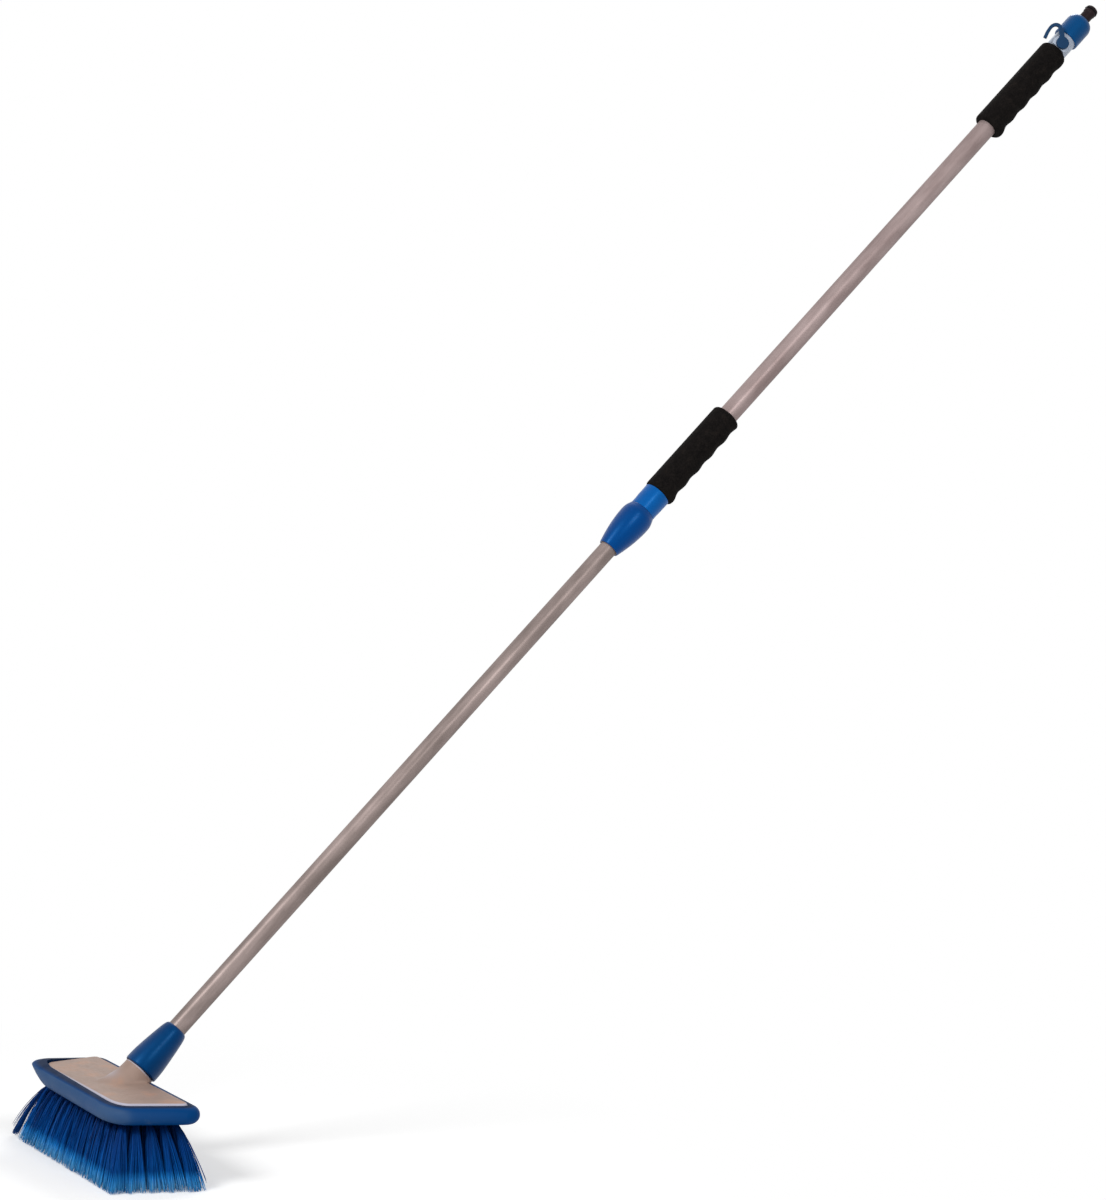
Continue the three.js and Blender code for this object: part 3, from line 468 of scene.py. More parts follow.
def modified(obj, kind, **settings):
    """Applies one modifier to obj for good."""
    modifier = obj.modifiers.new(kind, kind)
    for key, value in settings.items():
        setattr(modifier, key, value)
    depsgraph = bpy.context.evaluated_depsgraph_get()
    mesh = bpy.data.meshes.new_from_object(obj.evaluated_get(depsgraph))
    obj.modifiers.clear()
    old = obj.data
    obj.data = mesh
    bpy.data.meshes.remove(old)


def combine(obj, other, operation):
    """Joins obj with other, cuts it by other or keeps it within other, which is used up."""
    modified(obj, "BOOLEAN", operation=operation, object=other, solver="EXACT")
    bpy.data.objects.remove(other)


def melted(obj, voxel, smoothing):
    """Turns obj into one skin, with small fillets where its forms meet."""
    modified(obj, "REMESH", mode="VOXEL", voxel_size=voxel, adaptivity=0.0)
    modified(obj, "SMOOTH", factor=0.5, iterations=smoothing)


def scratch(name, verts, faces, slot="shell", matrix=WORLD):
    """A form that rides on nothing: a helper for combine, or a piece that is settled later."""
    return piece(name, verts, faces, slot, None, matrix)


def cylinder(radius, low, high, matrix):
    """A helper solid in mm along local Z."""
    profile = [(0, low), (radius, low), (radius, high), (0, high)]
    return scratch("cylinder", *turned_mesh(profile), matrix=matrix)


def block_solid(low, high):
    """A helper solid in metres between two corners."""
    xs, ys, zs = zip(low, high)
    corners = [(x, y, z) for x in xs for y in ys for z in zs]
    faces = [(0, 1, 3, 2), (4, 6, 7, 5), (0, 4, 5, 1), (2, 3, 7, 6), (0, 2, 6, 4), (1, 5, 7, 3)]
    return scratch("block_solid", corners, faces)


# ------------------------------------------------------------------------------------ head

BLOCK_BACK = 260 * MM
BLOCK_FRONT = 219 * MM
BLOCK_WIDTH = 77 * MM
BACK_CORNER = 9 * MM
FRONT_CORNER_ALONG = 30 * MM
FRONT_CORNER_ACROSS = 16 * MM
SMALLEST_CORNER = 2 * MM
CORNER_STEPS = 14

SHELL_WALL = 4.5 * MM
SHELL_EDGE = 3 * MM
EDGE_STEPS = 4
SKIN_VOXEL = 1.0 * MM
SKIN_SMOOTHING = 5
WELL_OUTSIDE = 0.4  # in metres, past everything on the head

NECK_LENGTH = span("head_nut")[0]
NECK_RADIUS = 19
NECK_FLARE = 10.5
NECK_SPREAD = 1.8  # the power with which the neck widens towards its root
NECK_COLLAR = 4
NECK_STEPS = 24
NECK_GAP = 0.3  # to the nut above it and to the bumper round it
NECK_BORE = 6.5
ROOT_HEIGHT = 16 * MM  # of the fillet between neck and shell, which reaches 48 mm out
ROOT_REACH = 48
ROOT_UNDER = 0.5 * MM
ROOT_SMOOTHING = 60

SPIGOT_RADIUS = 12.9
SPIGOT_LENGTH = 20
SPIGOT_OVERLAP = 2
THREAD_PITCH = 4
THREAD_DEPTH = 0.8
THREAD_START = 1.5  # plain lengths below and above the thread
THREAD_STOP = 1.2
THREAD_STEEPNESS = 2.4
THREAD_CREST = 0.7
THREAD_SAMPLES = 3  # per mm

BUMPER_HEIGHT = 20.6 * MM
BUMPER_BULGE = 14 * MM
BUMPER_DROP = 2.5 * MM
BUMPER_FIT = 0.3 * MM
BUMPER_SECTIONS = 24
GAP_SHADE_START = 0.93  # of the band's height, above which it is painted dark, as shade in the gap against the shell
LIP_REACH = 42 * MM
LIP_LIFT = 5.5 * MM
LIP_BULGE = 4.0 * MM

end_slope = (BLOCK_BACK - BLOCK_FRONT) / 2 / BLOCK_WIDTH


def within(value, low, high):
    """value, but no less than low and no more than high."""
    return min(high, max(low, value))


def half_length(y, grow=0.0):
    """Half the block's length at y, moved out by grow."""
    return (BLOCK_BACK + BLOCK_FRONT) / 4 + end_slope * y + grow * math.hypot(1, end_slope)


def outline(grow=0.0):
    """The block from above, moved out by grow, as points counter-clockwise."""
    half = BLOCK_WIDTH / 2 + grow
    radii = (BACK_CORNER, FRONT_CORNER_ALONG, FRONT_CORNER_ACROSS)
    back, along, across = (max(radius + grow, SMALLEST_CORNER) for radius in radii)
    corners = [
        # x, y, cut before the corner, cut after it
        (half_length(half, grow), half, back, back),
        (-half_length(half, grow), half, back, back),
        (-half_length(-half, grow), -half, across, along),
        (half_length(-half, grow), -half, along, across),
    ]
    points = []
    for i, (x, y, before, after) in enumerate(corners):
        here = Vector((x, y))
        last, following = Vector(corners[i - 1][:2]), Vector(corners[(i + 1) % 4][:2])
        start = here + (last - here).normalized() * before
        end = here + (following - here).normalized() * after
        points += arc(start, here, end, CORNER_STEPS)
    return points


def stacked(rings):
    """A closed solid from rings of the same count of points, each (points, height), bottom first."""
    verts = [(p.x, p.y, z) for points, z in rings for p in points]
    count = len(rings[0][0])
    bottom = tuple(range(count - 1, -1, -1))
    top = tuple(range(len(verts) - count, len(verts)))
    return verts, [bottom, *bands(len(rings), count), top]


def neck_profile(grow=0.0):
    """The neck's outside in mm along the pole, spreading until it leaves through the shell's top."""
    top = NECK_LENGTH - NECK_GAP
    root = -(NECK_RADIUS + NECK_FLARE) * pole_dir.y / pole_dir.z
    profile = [(0, root)]
    for i in range(NECK_STEPS + 1):
        t = i / NECK_STEPS
        radius = NECK_RADIUS + NECK_FLARE * (1 - t) ** NECK_SPREAD + grow
        profile.append((radius, root + (top - NECK_COLLAR - root) * t))
    return profile + [(NECK_RADIUS + grow, top), (0, top)]


def head_shell():
    """The moulded cover: a block with a rounded edge, the slanted neck, its root and the spigot."""
    rings = [(outline(), shell_bottom)]
    for k in range(EDGE_STEPS + 1):
        turn = k / EDGE_STEPS * math.pi / 2
        inset = SHELL_EDGE * (1 - math.cos(turn))
        rings.append((outline(-inset), shell_top - SHELL_EDGE * (1 - math.sin(turn))))
    shell = scratch("head_shell_form", *stacked(rings))
    combine(shell, scratch("neck", *turned_mesh(neck_profile()), matrix=POLE), "UNION")
    far = WELL_OUTSIDE
    combine(shell, block_solid((-far, -far, shell_bottom), (far, far, far)), "INTERSECT")
    hollow = outline(-SHELL_WALL)
    chamber = [(hollow, shell_bottom - far), (hollow, shell_top - SHELL_WALL)]
    combine(shell, scratch("chamber", *stacked(chamber)), "DIFFERENCE")
    melted(shell, SKIN_VOXEL, SKIN_SMOOTHING)
    root = shell.vertex_groups.new(name="root")
    for vertex in shell.data.vertices:
        height = vertex.co.z - shell_top
        near = (vertex.co - foot).length / MM
        if -ROOT_UNDER < height < ROOT_HEIGHT and near < ROOT_REACH:
            root.add([vertex.index], 1 - max(0, height / ROOT_HEIGHT), "REPLACE")
    modified(shell, "SMOOTH", factor=0.5, iterations=ROOT_SMOOTHING, vertex_group="root")
    combine(shell, spigot(), "UNION")
    bore = cylinder(NECK_BORE, -NECK_LENGTH, NECK_LENGTH + 2 * SPIGOT_LENGTH, POLE)
    combine(shell, bore, "DIFFERENCE")
    painted_highlights(shell)
    settle(shell, "head", ("head_shell",))


def painted_highlights(shell):
    """Marks painted highlights in the rim attribute: a pale line along the shell's upper edge, another round the
    neck's collar under the nut, and a soft bluish painted reflection at the neck's foot.
    """
    # painted highlight along the shell's rounded upper edge, kept off its level top
    edge_low, edge_high = shell_top - SHELL_EDGE - 1 * MM, shell_top + 0.2 * MM
    level_from = 0.985  # the upward part of the normal, from which the top counts as level
    # painted highlight line round the neck's collar, just below the nut
    collar_low, collar_high, collar_share = NECK_LENGTH - 2.2, NECK_LENGTH + 0.2, 0.7
    # painted reflection: a soft bluish spot at the neck's front foot
    spot, spot_size, spot_share = foot + Vector((-3, -20, 3)) * MM, 9 * MM, 0.55
    neck_zone = (NECK_RADIUS + NECK_FLARE + 8) * MM
    rim = []
    for vertex in shell.data.vertices:
        place = vertex.co
        up_neck = (place - foot).dot(pole_dir) / MM
        on_edge = edge_low < place.z < edge_high and (place - foot).length >= neck_zone
        edge = within((level_from - vertex.normal.z) * 5, 0.0, 1.0) if on_edge else 0.0
        collar = collar_share if collar_low < up_neck < collar_high else 0.0
        near_spot = spot_share * math.exp(-(((place - spot).length / spot_size) ** 2))
        rim.append(max(edge, collar, near_spot))
    point_values(shell.data, "rim", rim)


def spigot():
    """The threaded spout that the coupling nut screws on to."""
    low, high = NECK_LENGTH - SPIGOT_OVERLAP, NECK_LENGTH + SPIGOT_LENGTH
    steps = int((high - low) * THREAD_SAMPLES)
    profile = [(0, low)]
    profile += [(SPIGOT_RADIUS, low + (high - low) * i / steps) for i in range(steps + 1)]
    profile.append((0, high))

    def threaded(r, z, angle):
        if r < SPIGOT_RADIUS:
            return r
        if z < NECK_LENGTH + THREAD_START or z > high - THREAD_STOP:
            return SPIGOT_RADIUS - THREAD_DEPTH
        phase = (z / THREAD_PITCH - angle / TURN) % 1
        flank = THREAD_STEEPNESS * abs(2 * phase - 1) - THREAD_CREST
        return SPIGOT_RADIUS - THREAD_DEPTH * within(flank, 0, 1)

    return scratch("spigot", *turned_mesh(profile, 72, threaded), matrix=POLE)


def bumper():
    """A soft band round the block, open where the neck passes, with one corner pulled up to a lip."""
    low = shell_top - BUMPER_DROP - BUMPER_HEIGHT
    seat = outline(BUMPER_FIT)
    out = [(far - near).normalized() for far, near in zip(outline(10 * MM), outline(0))]
    lip_corner = Vector((-half_length(-BLOCK_WIDTH / 2), -BLOCK_WIDTH / 2))
    verts, gap_shade = [], []
    for k in range(BUMPER_SECTIONS + 1):
        turn = k / BUMPER_SECTIONS * math.pi
        rise = (1 - math.cos(turn)) / 2
        round_bulge = math.sin(turn) ** 0.8
        wedge_bulge = (0.1 + 0.98 * rise) * min(1, (1 - rise) * 12) ** 0.5
        # The band's top is darkened here: painted shade in the gap along the shell.
        gap_shade += [within((rise - GAP_SHADE_START) * 20, 0.0, 1.0)] * len(seat)
        for point, away in zip(seat, out):
            lip = math.exp(-(((point - lip_corner).length / LIP_REACH) ** 2))
            round_part = BUMPER_BULGE * round_bulge * (1 - lip)
            lip_part = (BUMPER_BULGE + LIP_BULGE) * wedge_bulge * lip
            place = point + away * (round_part + lip_part)
            verts.append((place.x, place.y, low + BUMPER_HEIGHT * rise + LIP_LIFT * lip * rise**3))
    faces = bands(BUMPER_SECTIONS + 1, len(seat), closed=True)
    band = scratch("bumper_band", verts, faces, "bumper")
    point_values(band.data, "gap_shade", gap_shade)
    neck_room = scratch("neck_room", *turned_mesh(neck_profile(NECK_GAP)), slot="bumper", matrix=POLE)
    combine(band, neck_room, "DIFFERENCE")
    settle(band, "head", ("bumper",))


head_shell()
bumper()


# ------------------------------------------------------------------------------------ bristles

TUFT_ROWS = 5
TUFTS_PER_ROW = 15
TUFT_MARGIN_END = 13 * MM
TUFT_MARGIN_SIDE = 11.5 * MM
TUFT_RADIUS = 2.4
TUFT_DEPTH = 3
TIP_BACK = 309 * MM
TIP_FRONT = 268 * MM
TIP_WIDTH = 108.6 * MM
TIP_CLEARANCE = 0.05 * MM  # over the plane that the tips are trimmed to
TRIM_SCATTER = 0.45
FAN_ALONG = 1.12  # how far strands spread past their share of the field
FAN_ACROSS = 1.02
WANDER = 0.7  # mm by which a tuft leans, and by which a strand bows, at random
SAG = -0.04
SHADE_SCATTER = 0.2
STRANDS = 150
STRAND_RADIUS = 0.5 * MM
STRAND_STEPS = 5
STRAND_SIDES = 3
STRAND_TAPER = 0.55
SECTION_TURN = 900  # radians per metre along the head, so that neighbours show different edges
FLARE = 0.8  # under 1, strands part soon after they leave the block
STRAY_THICKNESS = 0.9
STRAY_PALENESS = 0.72

row_boxes = [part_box(f"bristle_row_{row + 1}") for row in range(TUFT_ROWS)]
rows_low = [min(low[k] for low, _ in row_boxes) + STRAND_RADIUS for k in range(2)]
rows_high = [max(high[k] for _, high in row_boxes) - STRAND_RADIUS for k in range(2)]


def tuft_ends(i, j):
    """Where tuft i of row j leaves the block, the middle of its tip, and half the tip's size."""
    along = 2 * i / (TUFTS_PER_ROW - 1) - 1
    across = 2 * j / (TUFT_ROWS - 1) - 1
    root_y = across * (BLOCK_WIDTH / 2 - TUFT_MARGIN_SIDE)
    root = Vector((along * (half_length(root_y) - TUFT_MARGIN_END), root_y, plate_bottom))
    depth = TIP_WIDTH / TUFT_ROWS
    row = TIP_FRONT + (TIP_BACK - TIP_FRONT) * (j + 0.5) / TUFT_ROWS
    width = row / TUFTS_PER_ROW
    tip = Vector((along * (row - width) / 2, across * (TIP_WIDTH - depth) / 2, 0))
    return root, tip, Vector((width / 2, depth / 2, 0))


def within_rows(tip):
    """tip, moved in where it would stand outside the space of the CAD's bristle rows."""
    for k in range(2):
        tip[k] = within(tip[k], rows_low[k], rows_high[k])
    return tip


def wander(chance):
    """A small level offset at random."""
    return Vector((chance.gauss(0, WANDER), chance.gauss(0, WANDER), 0)) * MM


class Strands:
    """Many thin tapered filaments gathered into one mesh."""

    def __init__(self):
        self.verts, self.faces, self.along, self.shade = [], [], [], []

    def grow(self, root, tip, bow, shade, thickness=STRAND_RADIUS, pale=1.0):
        """One filament from root to tip that bows sideways by bow on its way."""
        start = len(self.verts)
        for step in range(STRAND_STEPS + 1):
            t = step / STRAND_STEPS
            centre = root.lerp(tip, t**FLARE) + bow * math.sin(t * math.pi)
            centre.z = root.z + (tip.z - root.z) * t
            radius = thickness * (1 - STRAND_TAPER * t**3)
            for side in range(STRAND_SIDES):
                turn = TURN * side / STRAND_SIDES + root.x * SECTION_TURN
                x, y = centre.x + radius * math.cos(turn), centre.y + radius * math.sin(turn)
                self.verts.append((x, y, centre.z))
                self.along.append(t * pale)
                self.shade.append(shade)
        for step in range(STRAND_STEPS):
            low = start + step * STRAND_SIDES
            high = low + STRAND_SIDES
            for side in range(STRAND_SIDES):
                after = (side + 1) % STRAND_SIDES
                self.faces.append((low + side, high + side, high + after, low + after))
        last = start + STRAND_STEPS * STRAND_SIDES
        self.faces.append(tuple(range(start, start + STRAND_SIDES)))
        self.faces.append(tuple(range(last + STRAND_SIDES - 1, last - 1, -1)))

    def finish(self, name, replaces):
        """Makes the piece. It has no edges to sharpen or points to weld, so it skips piece()."""
        mesh = bpy.data.meshes.new(name)
        mesh.from_pydata(self.verts, [], self.faces)
        point_values(mesh, "along", self.along)
        point_values(mesh, "shade", self.shade)
        smooth(mesh)
        obj = linked(name, mesh)
        mesh.materials.append(looks["bristle"])
        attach(obj, "head")
        if replaces:
            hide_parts(*replaces)


def bristle_row(j):
    chance = random.Random(100 + j)
    strands = Strands()
    for i in range(TUFTS_PER_ROW):
        root, tip, half = tuft_ends(i, j)
        lean = wander(chance)
        tuft_shade = chance.uniform(0.35, 0.75)
        for _ in range(STRANDS):
            turn = chance.uniform(0, TURN)
            spread = math.sqrt(chance.random())
            seat = Vector((math.cos(turn), math.sin(turn), 0)) * spread * TUFT_RADIUS * MM
            along = half.x * chance.uniform(-FAN_ALONG, FAN_ALONG)
            across = half.y * chance.uniform(-FAN_ACROSS, FAN_ACROSS)
            end = within_rows(tip + Vector((along, across, 0)) + lean)
            end.z = abs(chance.gauss(0, TRIM_SCATTER)) * MM + TIP_CLEARANCE
            start = root + seat
            start.z += TUFT_DEPTH * MM
            bow = (root - tip) * SAG + wander(chance)
            bow.z = 0
            strands.grow(start, end, bow, within(chance.gauss(tuft_shade, SHADE_SCATTER), 0, 1))
    name = f"bristle_row_{j + 1}"
    strands.finish(name + "_strands", (name,))


def stray_bristles():
    """Filaments that have sprung out at two corners: a bunch at the front, a few at the back."""
    chance = random.Random(7)
    strands = Strands()
    bunches = (
        # tuft, row, way out in mm, how many, how loose in mm
        (0, 0, Vector((-20, -8, 4)), 110, Vector((5.5, 2.5, 2))),
        (0, 0, Vector((-24, -9, 14)), 6, Vector((3, 3, 4))),
        (TUFTS_PER_ROW - 1, TUFT_ROWS - 1, Vector((7, 9.5, 11)), 6, Vector((2, 2, 3))),
    )
    for i, j, reach, count, loose in bunches:
        root, tip, _ = tuft_ends(i, j)
        bow = Vector((reach.x, reach.y, 0)) * 0.1 * MM
        for _ in range(count):
            stray = Vector([chance.uniform(-amount, amount) for amount in loose])
            start = root + Vector((chance.uniform(-2, 2), chance.uniform(-2, 2), TUFT_DEPTH)) * MM
            end = within_rows(tip + (reach + stray) * MM)
            shade = chance.uniform(0.0, 0.4)
            strands.grow(start, end, bow, shade, STRAND_RADIUS * STRAY_THICKNESS, STRAY_PALENESS)
    strands.finish("stray_bristles", ())


for row_number in range(TUFT_ROWS):
    bristle_row(row_number)
stray_bristles()


# ------------------------------------------------------------------------------------ nuts and tubes

# Each profile is a list of (radius, height, arc of the corner), in mm up the pole.

CLOSE_TO_TUBE = 11.6
SPIGOT_THREAD_RADIUS = 13.2
SPIGOT_THREAD_LENGTH = 27.5
LOCK_THREAD_RADIUS = 15.5
LOCK_THREAD_LENGTH = 30.3
COLLET_SEAT_RADIUS = 13.8
LOCK_CONE_START = 36.3
NECK_OUTSIDE = 16.7
NECK_THREAD = 15.2
GRIP_SEAT = 13.7
TUBE_SEAT = 12.5
PART_GAP = 0.3  # between pieces that meet end to end


def coupling_nut():
    """The long tapered nut: wide over the spigot, close round the tube above it."""
    low, high = span("head_nut")
    thread_end = low + SPIGOT_THREAD_LENGTH
    profile = [
        (20.4, low, 0.5),
        (21.0, low + 1.5, 1),
        (20.95, low + 9, 6),
        (20.4, low + 17, 7),
        (18.5, low + 33, 9),
        (16.2, low + 49, 6),
        (15.0, low + 56, 4),
        (13.6, low + 60.2, 1.2),
        (12.1, high, 0.3),
        (CLOSE_TO_TUBE, high, 0.2),
        (CLOSE_TO_TUBE, thread_end, 0),
        (SPIGOT_THREAD_RADIUS, thread_end, 0),
        (SPIGOT_THREAD_RADIUS, low, 0.3),
    ]
    turned("coupling_nut", profile, "coupling_nut", "head_nut", replaces=("head_nut",))


def tube(name, inner, outer, body, matrix):
    low, high = span(name)
    profile = [(outer, low), (outer, high), (inner, high), (inner, low)]
    return turned(name + "_drawn", profile, "tube", body, matrix, replaces=(name,), corner=0.25)


def twist_lock_nut():
    """The bulged nut, whose thread runs on the neck and whose cone closes the collet."""
    low, high = span("lock_nut")
    thread_end = high - LOCK_THREAD_LENGTH
    profile = [
        (13.0, low, 0.3),
        (13.4, low + 0.8, 0.5),
        (15.3, low + 8.4, 5),
        (17.0, low + 16.4, 6),
        (18.5, low + 25, 6),
        (19.8, low + 35, 6),
        (20.6, low + 48, 6),
        (20.0, low + 55.6, 3.5),
        (18.2, low + 60.2, 2.5),
        (17.2, high, 0.5),
        (LOCK_THREAD_RADIUS, high, 0.2),
        (LOCK_THREAD_RADIUS, thread_end, 0),
        (COLLET_SEAT_RADIUS, thread_end, 0),
        (COLLET_SEAT_RADIUS, high - LOCK_CONE_START, 0),
        (12.2, low, 0.2),
    ]
    turned("twist_lock_nut", profile, "twist_lock", "lock_nut", replaces=("lock_nut",))


def twist_lock_neck():
    """The plain sleeve between the nut and the front grip."""
    low, high = span("lock_neck")
    face = span("lock_nut")[1] + PART_GAP
    shoulder = span("front_grip")[0] - PART_GAP
    tube_stop = face + 1.7
    profile = [
        (NECK_THREAD, low, 0.3),
        (NECK_THREAD, face, 0),
        (NECK_OUTSIDE, face, 0.5),
        (NECK_OUTSIDE, face + 8, 1.5),
        (16.9, face + 11, 1.5),
        (17.2, shoulder, 0.3),
        (GRIP_SEAT, shoulder, 0),
        (GRIP_SEAT, high, 0.3),
        (TUBE_SEAT, high, 0),
        (TUBE_SEAT, tube_stop, 0),
        (CLOSE_TO_TUBE, tube_stop, 0),
        (CLOSE_TO_TUBE, low, 0.2),
    ]
    neck = turned("twist_lock_neck", profile, "twist_lock", "handle", HANDLE, ("lock_neck",))
    # The sleeve takes the lighter copy of the lock's plastic: painted light for its broad highlight.
    neck.data.materials[0] = looks["lock_neck"]


coupling_nut()
tube("inner_tube", 10.1, 11.0, "inner_pole", POLE)
tube("outer_tube", 11.3, 12.2, "handle", HANDLE).data.materials[0] = looks["outer_tube"]
twist_lock_nut()
twist_lock_neck()


# ------------------------------------------------------------------------------------ grips

GRIP_RADIUS = 18.6
GRIP_ROUND = 3.5
GRIP_STATIONS = 150
GUARD_HEIGHT = 1.9
FINGER_DEPTH = 1.5
FINGER_PITCH = 25.5
GUARD_PLACE = FINGER_PITCH / 4
GUARD_WIDTH = FINGER_PITCH / 3
SKIN_DENTS = 0.12


def grip(name, bore):
    """A foam sleeve whose finger swells lie on its +Y side, the tallest one at its lower end."""
    low, high = span(name)
    length = high - low
    profile = []
    for i in range(GRIP_STATIONS + 1):
        along = length * (i / GRIP_STATIONS)
        rounded = max(0, 1 - min(along, length - along) / GRIP_ROUND)
        profile.append((GRIP_RADIUS - GRIP_ROUND * (1 - math.sqrt(1 - rounded**2)), low + along))
    profile += [(bore, high), (bore, low)]

    def squeezed(r, z, angle):
        if r <= bore:
            return r
        along = z - low
        facing = max(0, math.sin(angle))
        valley = (1 - math.cos(TURN * (along - GUARD_PLACE) / FINGER_PITCH)) / 2
        guard = math.exp(-(((along - GUARD_PLACE) / GUARD_WIDTH) ** 2))
        skin = SKIN_DENTS * noise.noise(Vector((math.cos(angle) * 3, math.sin(angle) * 3, z * 0.2)))
        return r + facing * (GUARD_HEIGHT * guard - FINGER_DEPTH * valley) + min(0, skin)

    verts, faces = turned_mesh([Vector(p) for p in profile], shape=squeezed)
    sleeve = piece(name + "_foam", verts, faces, "foam", "handle", HANDLE, (name,))


grip("front_grip", 13.9)
grip("rear_grip", TUBE_SEAT)


# ------------------------------------------------------------------------------------ valve

HUB_RISE = 7.3  # from the housing's foot to the middle of the lever's hub

HOUSING_HEIGHT = 28
HOUSING_RADIUS = 14.5
HOUSING_BORE = 9.3
PLUG_RADIUS = 11.0
PLUG_LENGTH = 25.9
BOSS_RADIUS = 11.5
BOSS_FROM = 9.5
BOSS_FACE = 16.9
BOSS_ROOM = 60  # of the solid that trims the boss at the housing's foot

DOME_RISE = 23.5
DOME_HEIGHT = 36.5
DOME_RADIUS = 16.9
DOME_CROWN = 10
DOME_SHOULDER_WIDTH = 6.9
DOME_SHOULDER = 10.5
DOME_STEPS = 12
DOME_BORE = 14.8
DOME_HOLE = 6.0
DOME_THICKNESS = 8

LEVER_BACK = 17.2
LEVER_FACE = 21.4
LEVER_THICKNESS_HALF = 2.1
DISC_RADIUS = 8.2
HOOK_WIDTH_HALF = 2.2
ARM_WIDTH_HALF = 3.2
# The lever's curves, as (across, up the pole) in mm from the hub's middle.
HOOK_POINTS = [(-12.6, 12.6), (-17.6, 14.8), (-22, 12.6), (-24.3, 7.2), (-23.6, -1.6), (-21, -11.4)]
ARM_POINTS = [(0, 0), (-6.6, 6.6), (-13.6, 13.2)]
SWEEP_STEPS = 8
LEVER_VOXEL = 0.3 * MM
LEVER_SMOOTHING = 3

NIPPLE_LENGTH = 23
NIPPLE_BORE = 4.0
NIPPLE_PLUG = 5.6
NIPPLE_PLUG_LENGTH = 8.7
NIPPLE_STEM = 7.5
NIPPLE_HEAD = 8.2
GROOVE_PLACE = 5.6  # from the nipple's end down to the groove
GROOVE_RADIUS = 7.1
GROOVE_WIDTH = 2.2
RING_RADIUS = 8.1
RING_THICKNESS_HALF = 0.8
RING_SIDES = 12
NIPPLE_SEGMENTS = 64

housing_foot = span("rear_grip")[1] + PART_GAP
hub_height = housing_foot + HUB_RISE
HUB = HANDLE @ Matrix.Translation((0, 0, hub_height * MM)) @ Matrix.Rotation(math.radians(90), 4, "Y")


def valve_housing():
    """The white moulding: a plug in the tube, a round body and the boss that the lever turns on."""
    top = housing_foot + HOUSING_HEIGHT
    profile = [
        (HOUSING_BORE, housing_foot - PLUG_LENGTH),
        (PLUG_RADIUS, housing_foot - PLUG_LENGTH),
        (PLUG_RADIUS, housing_foot, 0),
        (HOUSING_RADIUS, housing_foot, 0.6),
        (HOUSING_RADIUS, top, 0.4),
        (HOUSING_BORE, top, 0.4),
    ]
    housing = scratch("valve_housing_moulding", *turned_mesh(softened(profile)), "housing", HANDLE)
    boss_profile = [
        (0, BOSS_FROM),
        (BOSS_RADIUS, BOSS_FROM),
        (BOSS_RADIUS, BOSS_FACE, 0.7),
        (0, BOSS_FACE),
    ]
    boss = scratch("boss", *turned_mesh(softened(boss_profile)), "housing", HUB)
    combine(boss, cylinder(BOSS_ROOM, housing_foot, housing_foot + BOSS_ROOM, HANDLE), "INTERSECT")
    combine(housing, boss, "UNION")
    settle(housing, "handle", ("valve_housing",))


def valve_dome():
    """The blue cap, with a round shoulder and a hole for the nipple."""
    low = housing_foot + DOME_RISE
    high = low + DOME_HEIGHT
    profile = [(16.1, low, 0.3), (DOME_RADIUS, low + 1, 0.6), (DOME_RADIUS, high - DOME_SHOULDER, 2)]
    for k in range(1, DOME_STEPS + 1):
        turn = k * math.pi / (2 * DOME_STEPS)
        radius = DOME_CROWN + DOME_SHOULDER_WIDTH * math.cos(turn)
        profile.append((radius, high - DOME_SHOULDER * (1 - math.sin(turn)), 0))
    profile += [
        (DOME_HOLE, high, 0.4),
        (DOME_HOLE, high - DOME_THICKNESS, 0),
        (DOME_BORE, low + DOME_THICKNESS, 0),
        (DOME_BORE, low, 0.3),
    ]
    turned("valve_dome_cap", profile, "dome", "handle", HANDLE, ("valve_dome",))


def curve_through(points, steps):
    """A smooth path through every point: a Catmull-Rom spline."""
    path = []
    padded = [2 * points[0] - points[1], *points, 2 * points[-1] - points[-2]]
    for i in range(1, len(padded) - 2):
        a, b, c, d = padded[i - 1 : i + 3]
        for k in range(steps):
            t = k / steps
            bend = 2 * a - 5 * b + 4 * c - d
            twist = 3 * b - a - 3 * c + d
            path.append(0.5 * (2 * b + (c - a) * t + bend * t**2 + twist * t**3))
    path.append(points[-1])
    return path


def swept(places, half_width, corner):
    """A bar of rounded-rectangle section along a curve through (y, z) places in mm."""
    half_height = LEVER_THICKNESS_HALF
    section = []
    for cx, cz in ((1, 1), (-1, 1), (-1, -1), (1, -1)):
        for k in range(4):
            turn = math.atan2(cz, cx) + math.radians(-45 + 30 * k)
            across = cx * (half_width - corner) + corner * math.cos(turn)
            section.append((across, cz * (half_height - corner) + corner * math.sin(turn)))
    path = curve_through([Vector((0, y, z)) for y, z in places], SWEEP_STEPS)
    verts = []
    for i, centre in enumerate(path):
        ahead = path[min(i + 1, len(path) - 1)] - path[max(i - 1, 0)]
        side = Vector((0, -ahead.z, ahead.y)).normalized()
        for across, deep in section:
            verts.append((centre + side * across + Vector((deep, 0, 0))) * MM)
    count = len(section)
    first = tuple(range(count))
    last = tuple(range(len(verts) - 1, len(verts) - 1 - count, -1))
    return verts, [*bands(len(path), count), first, last]


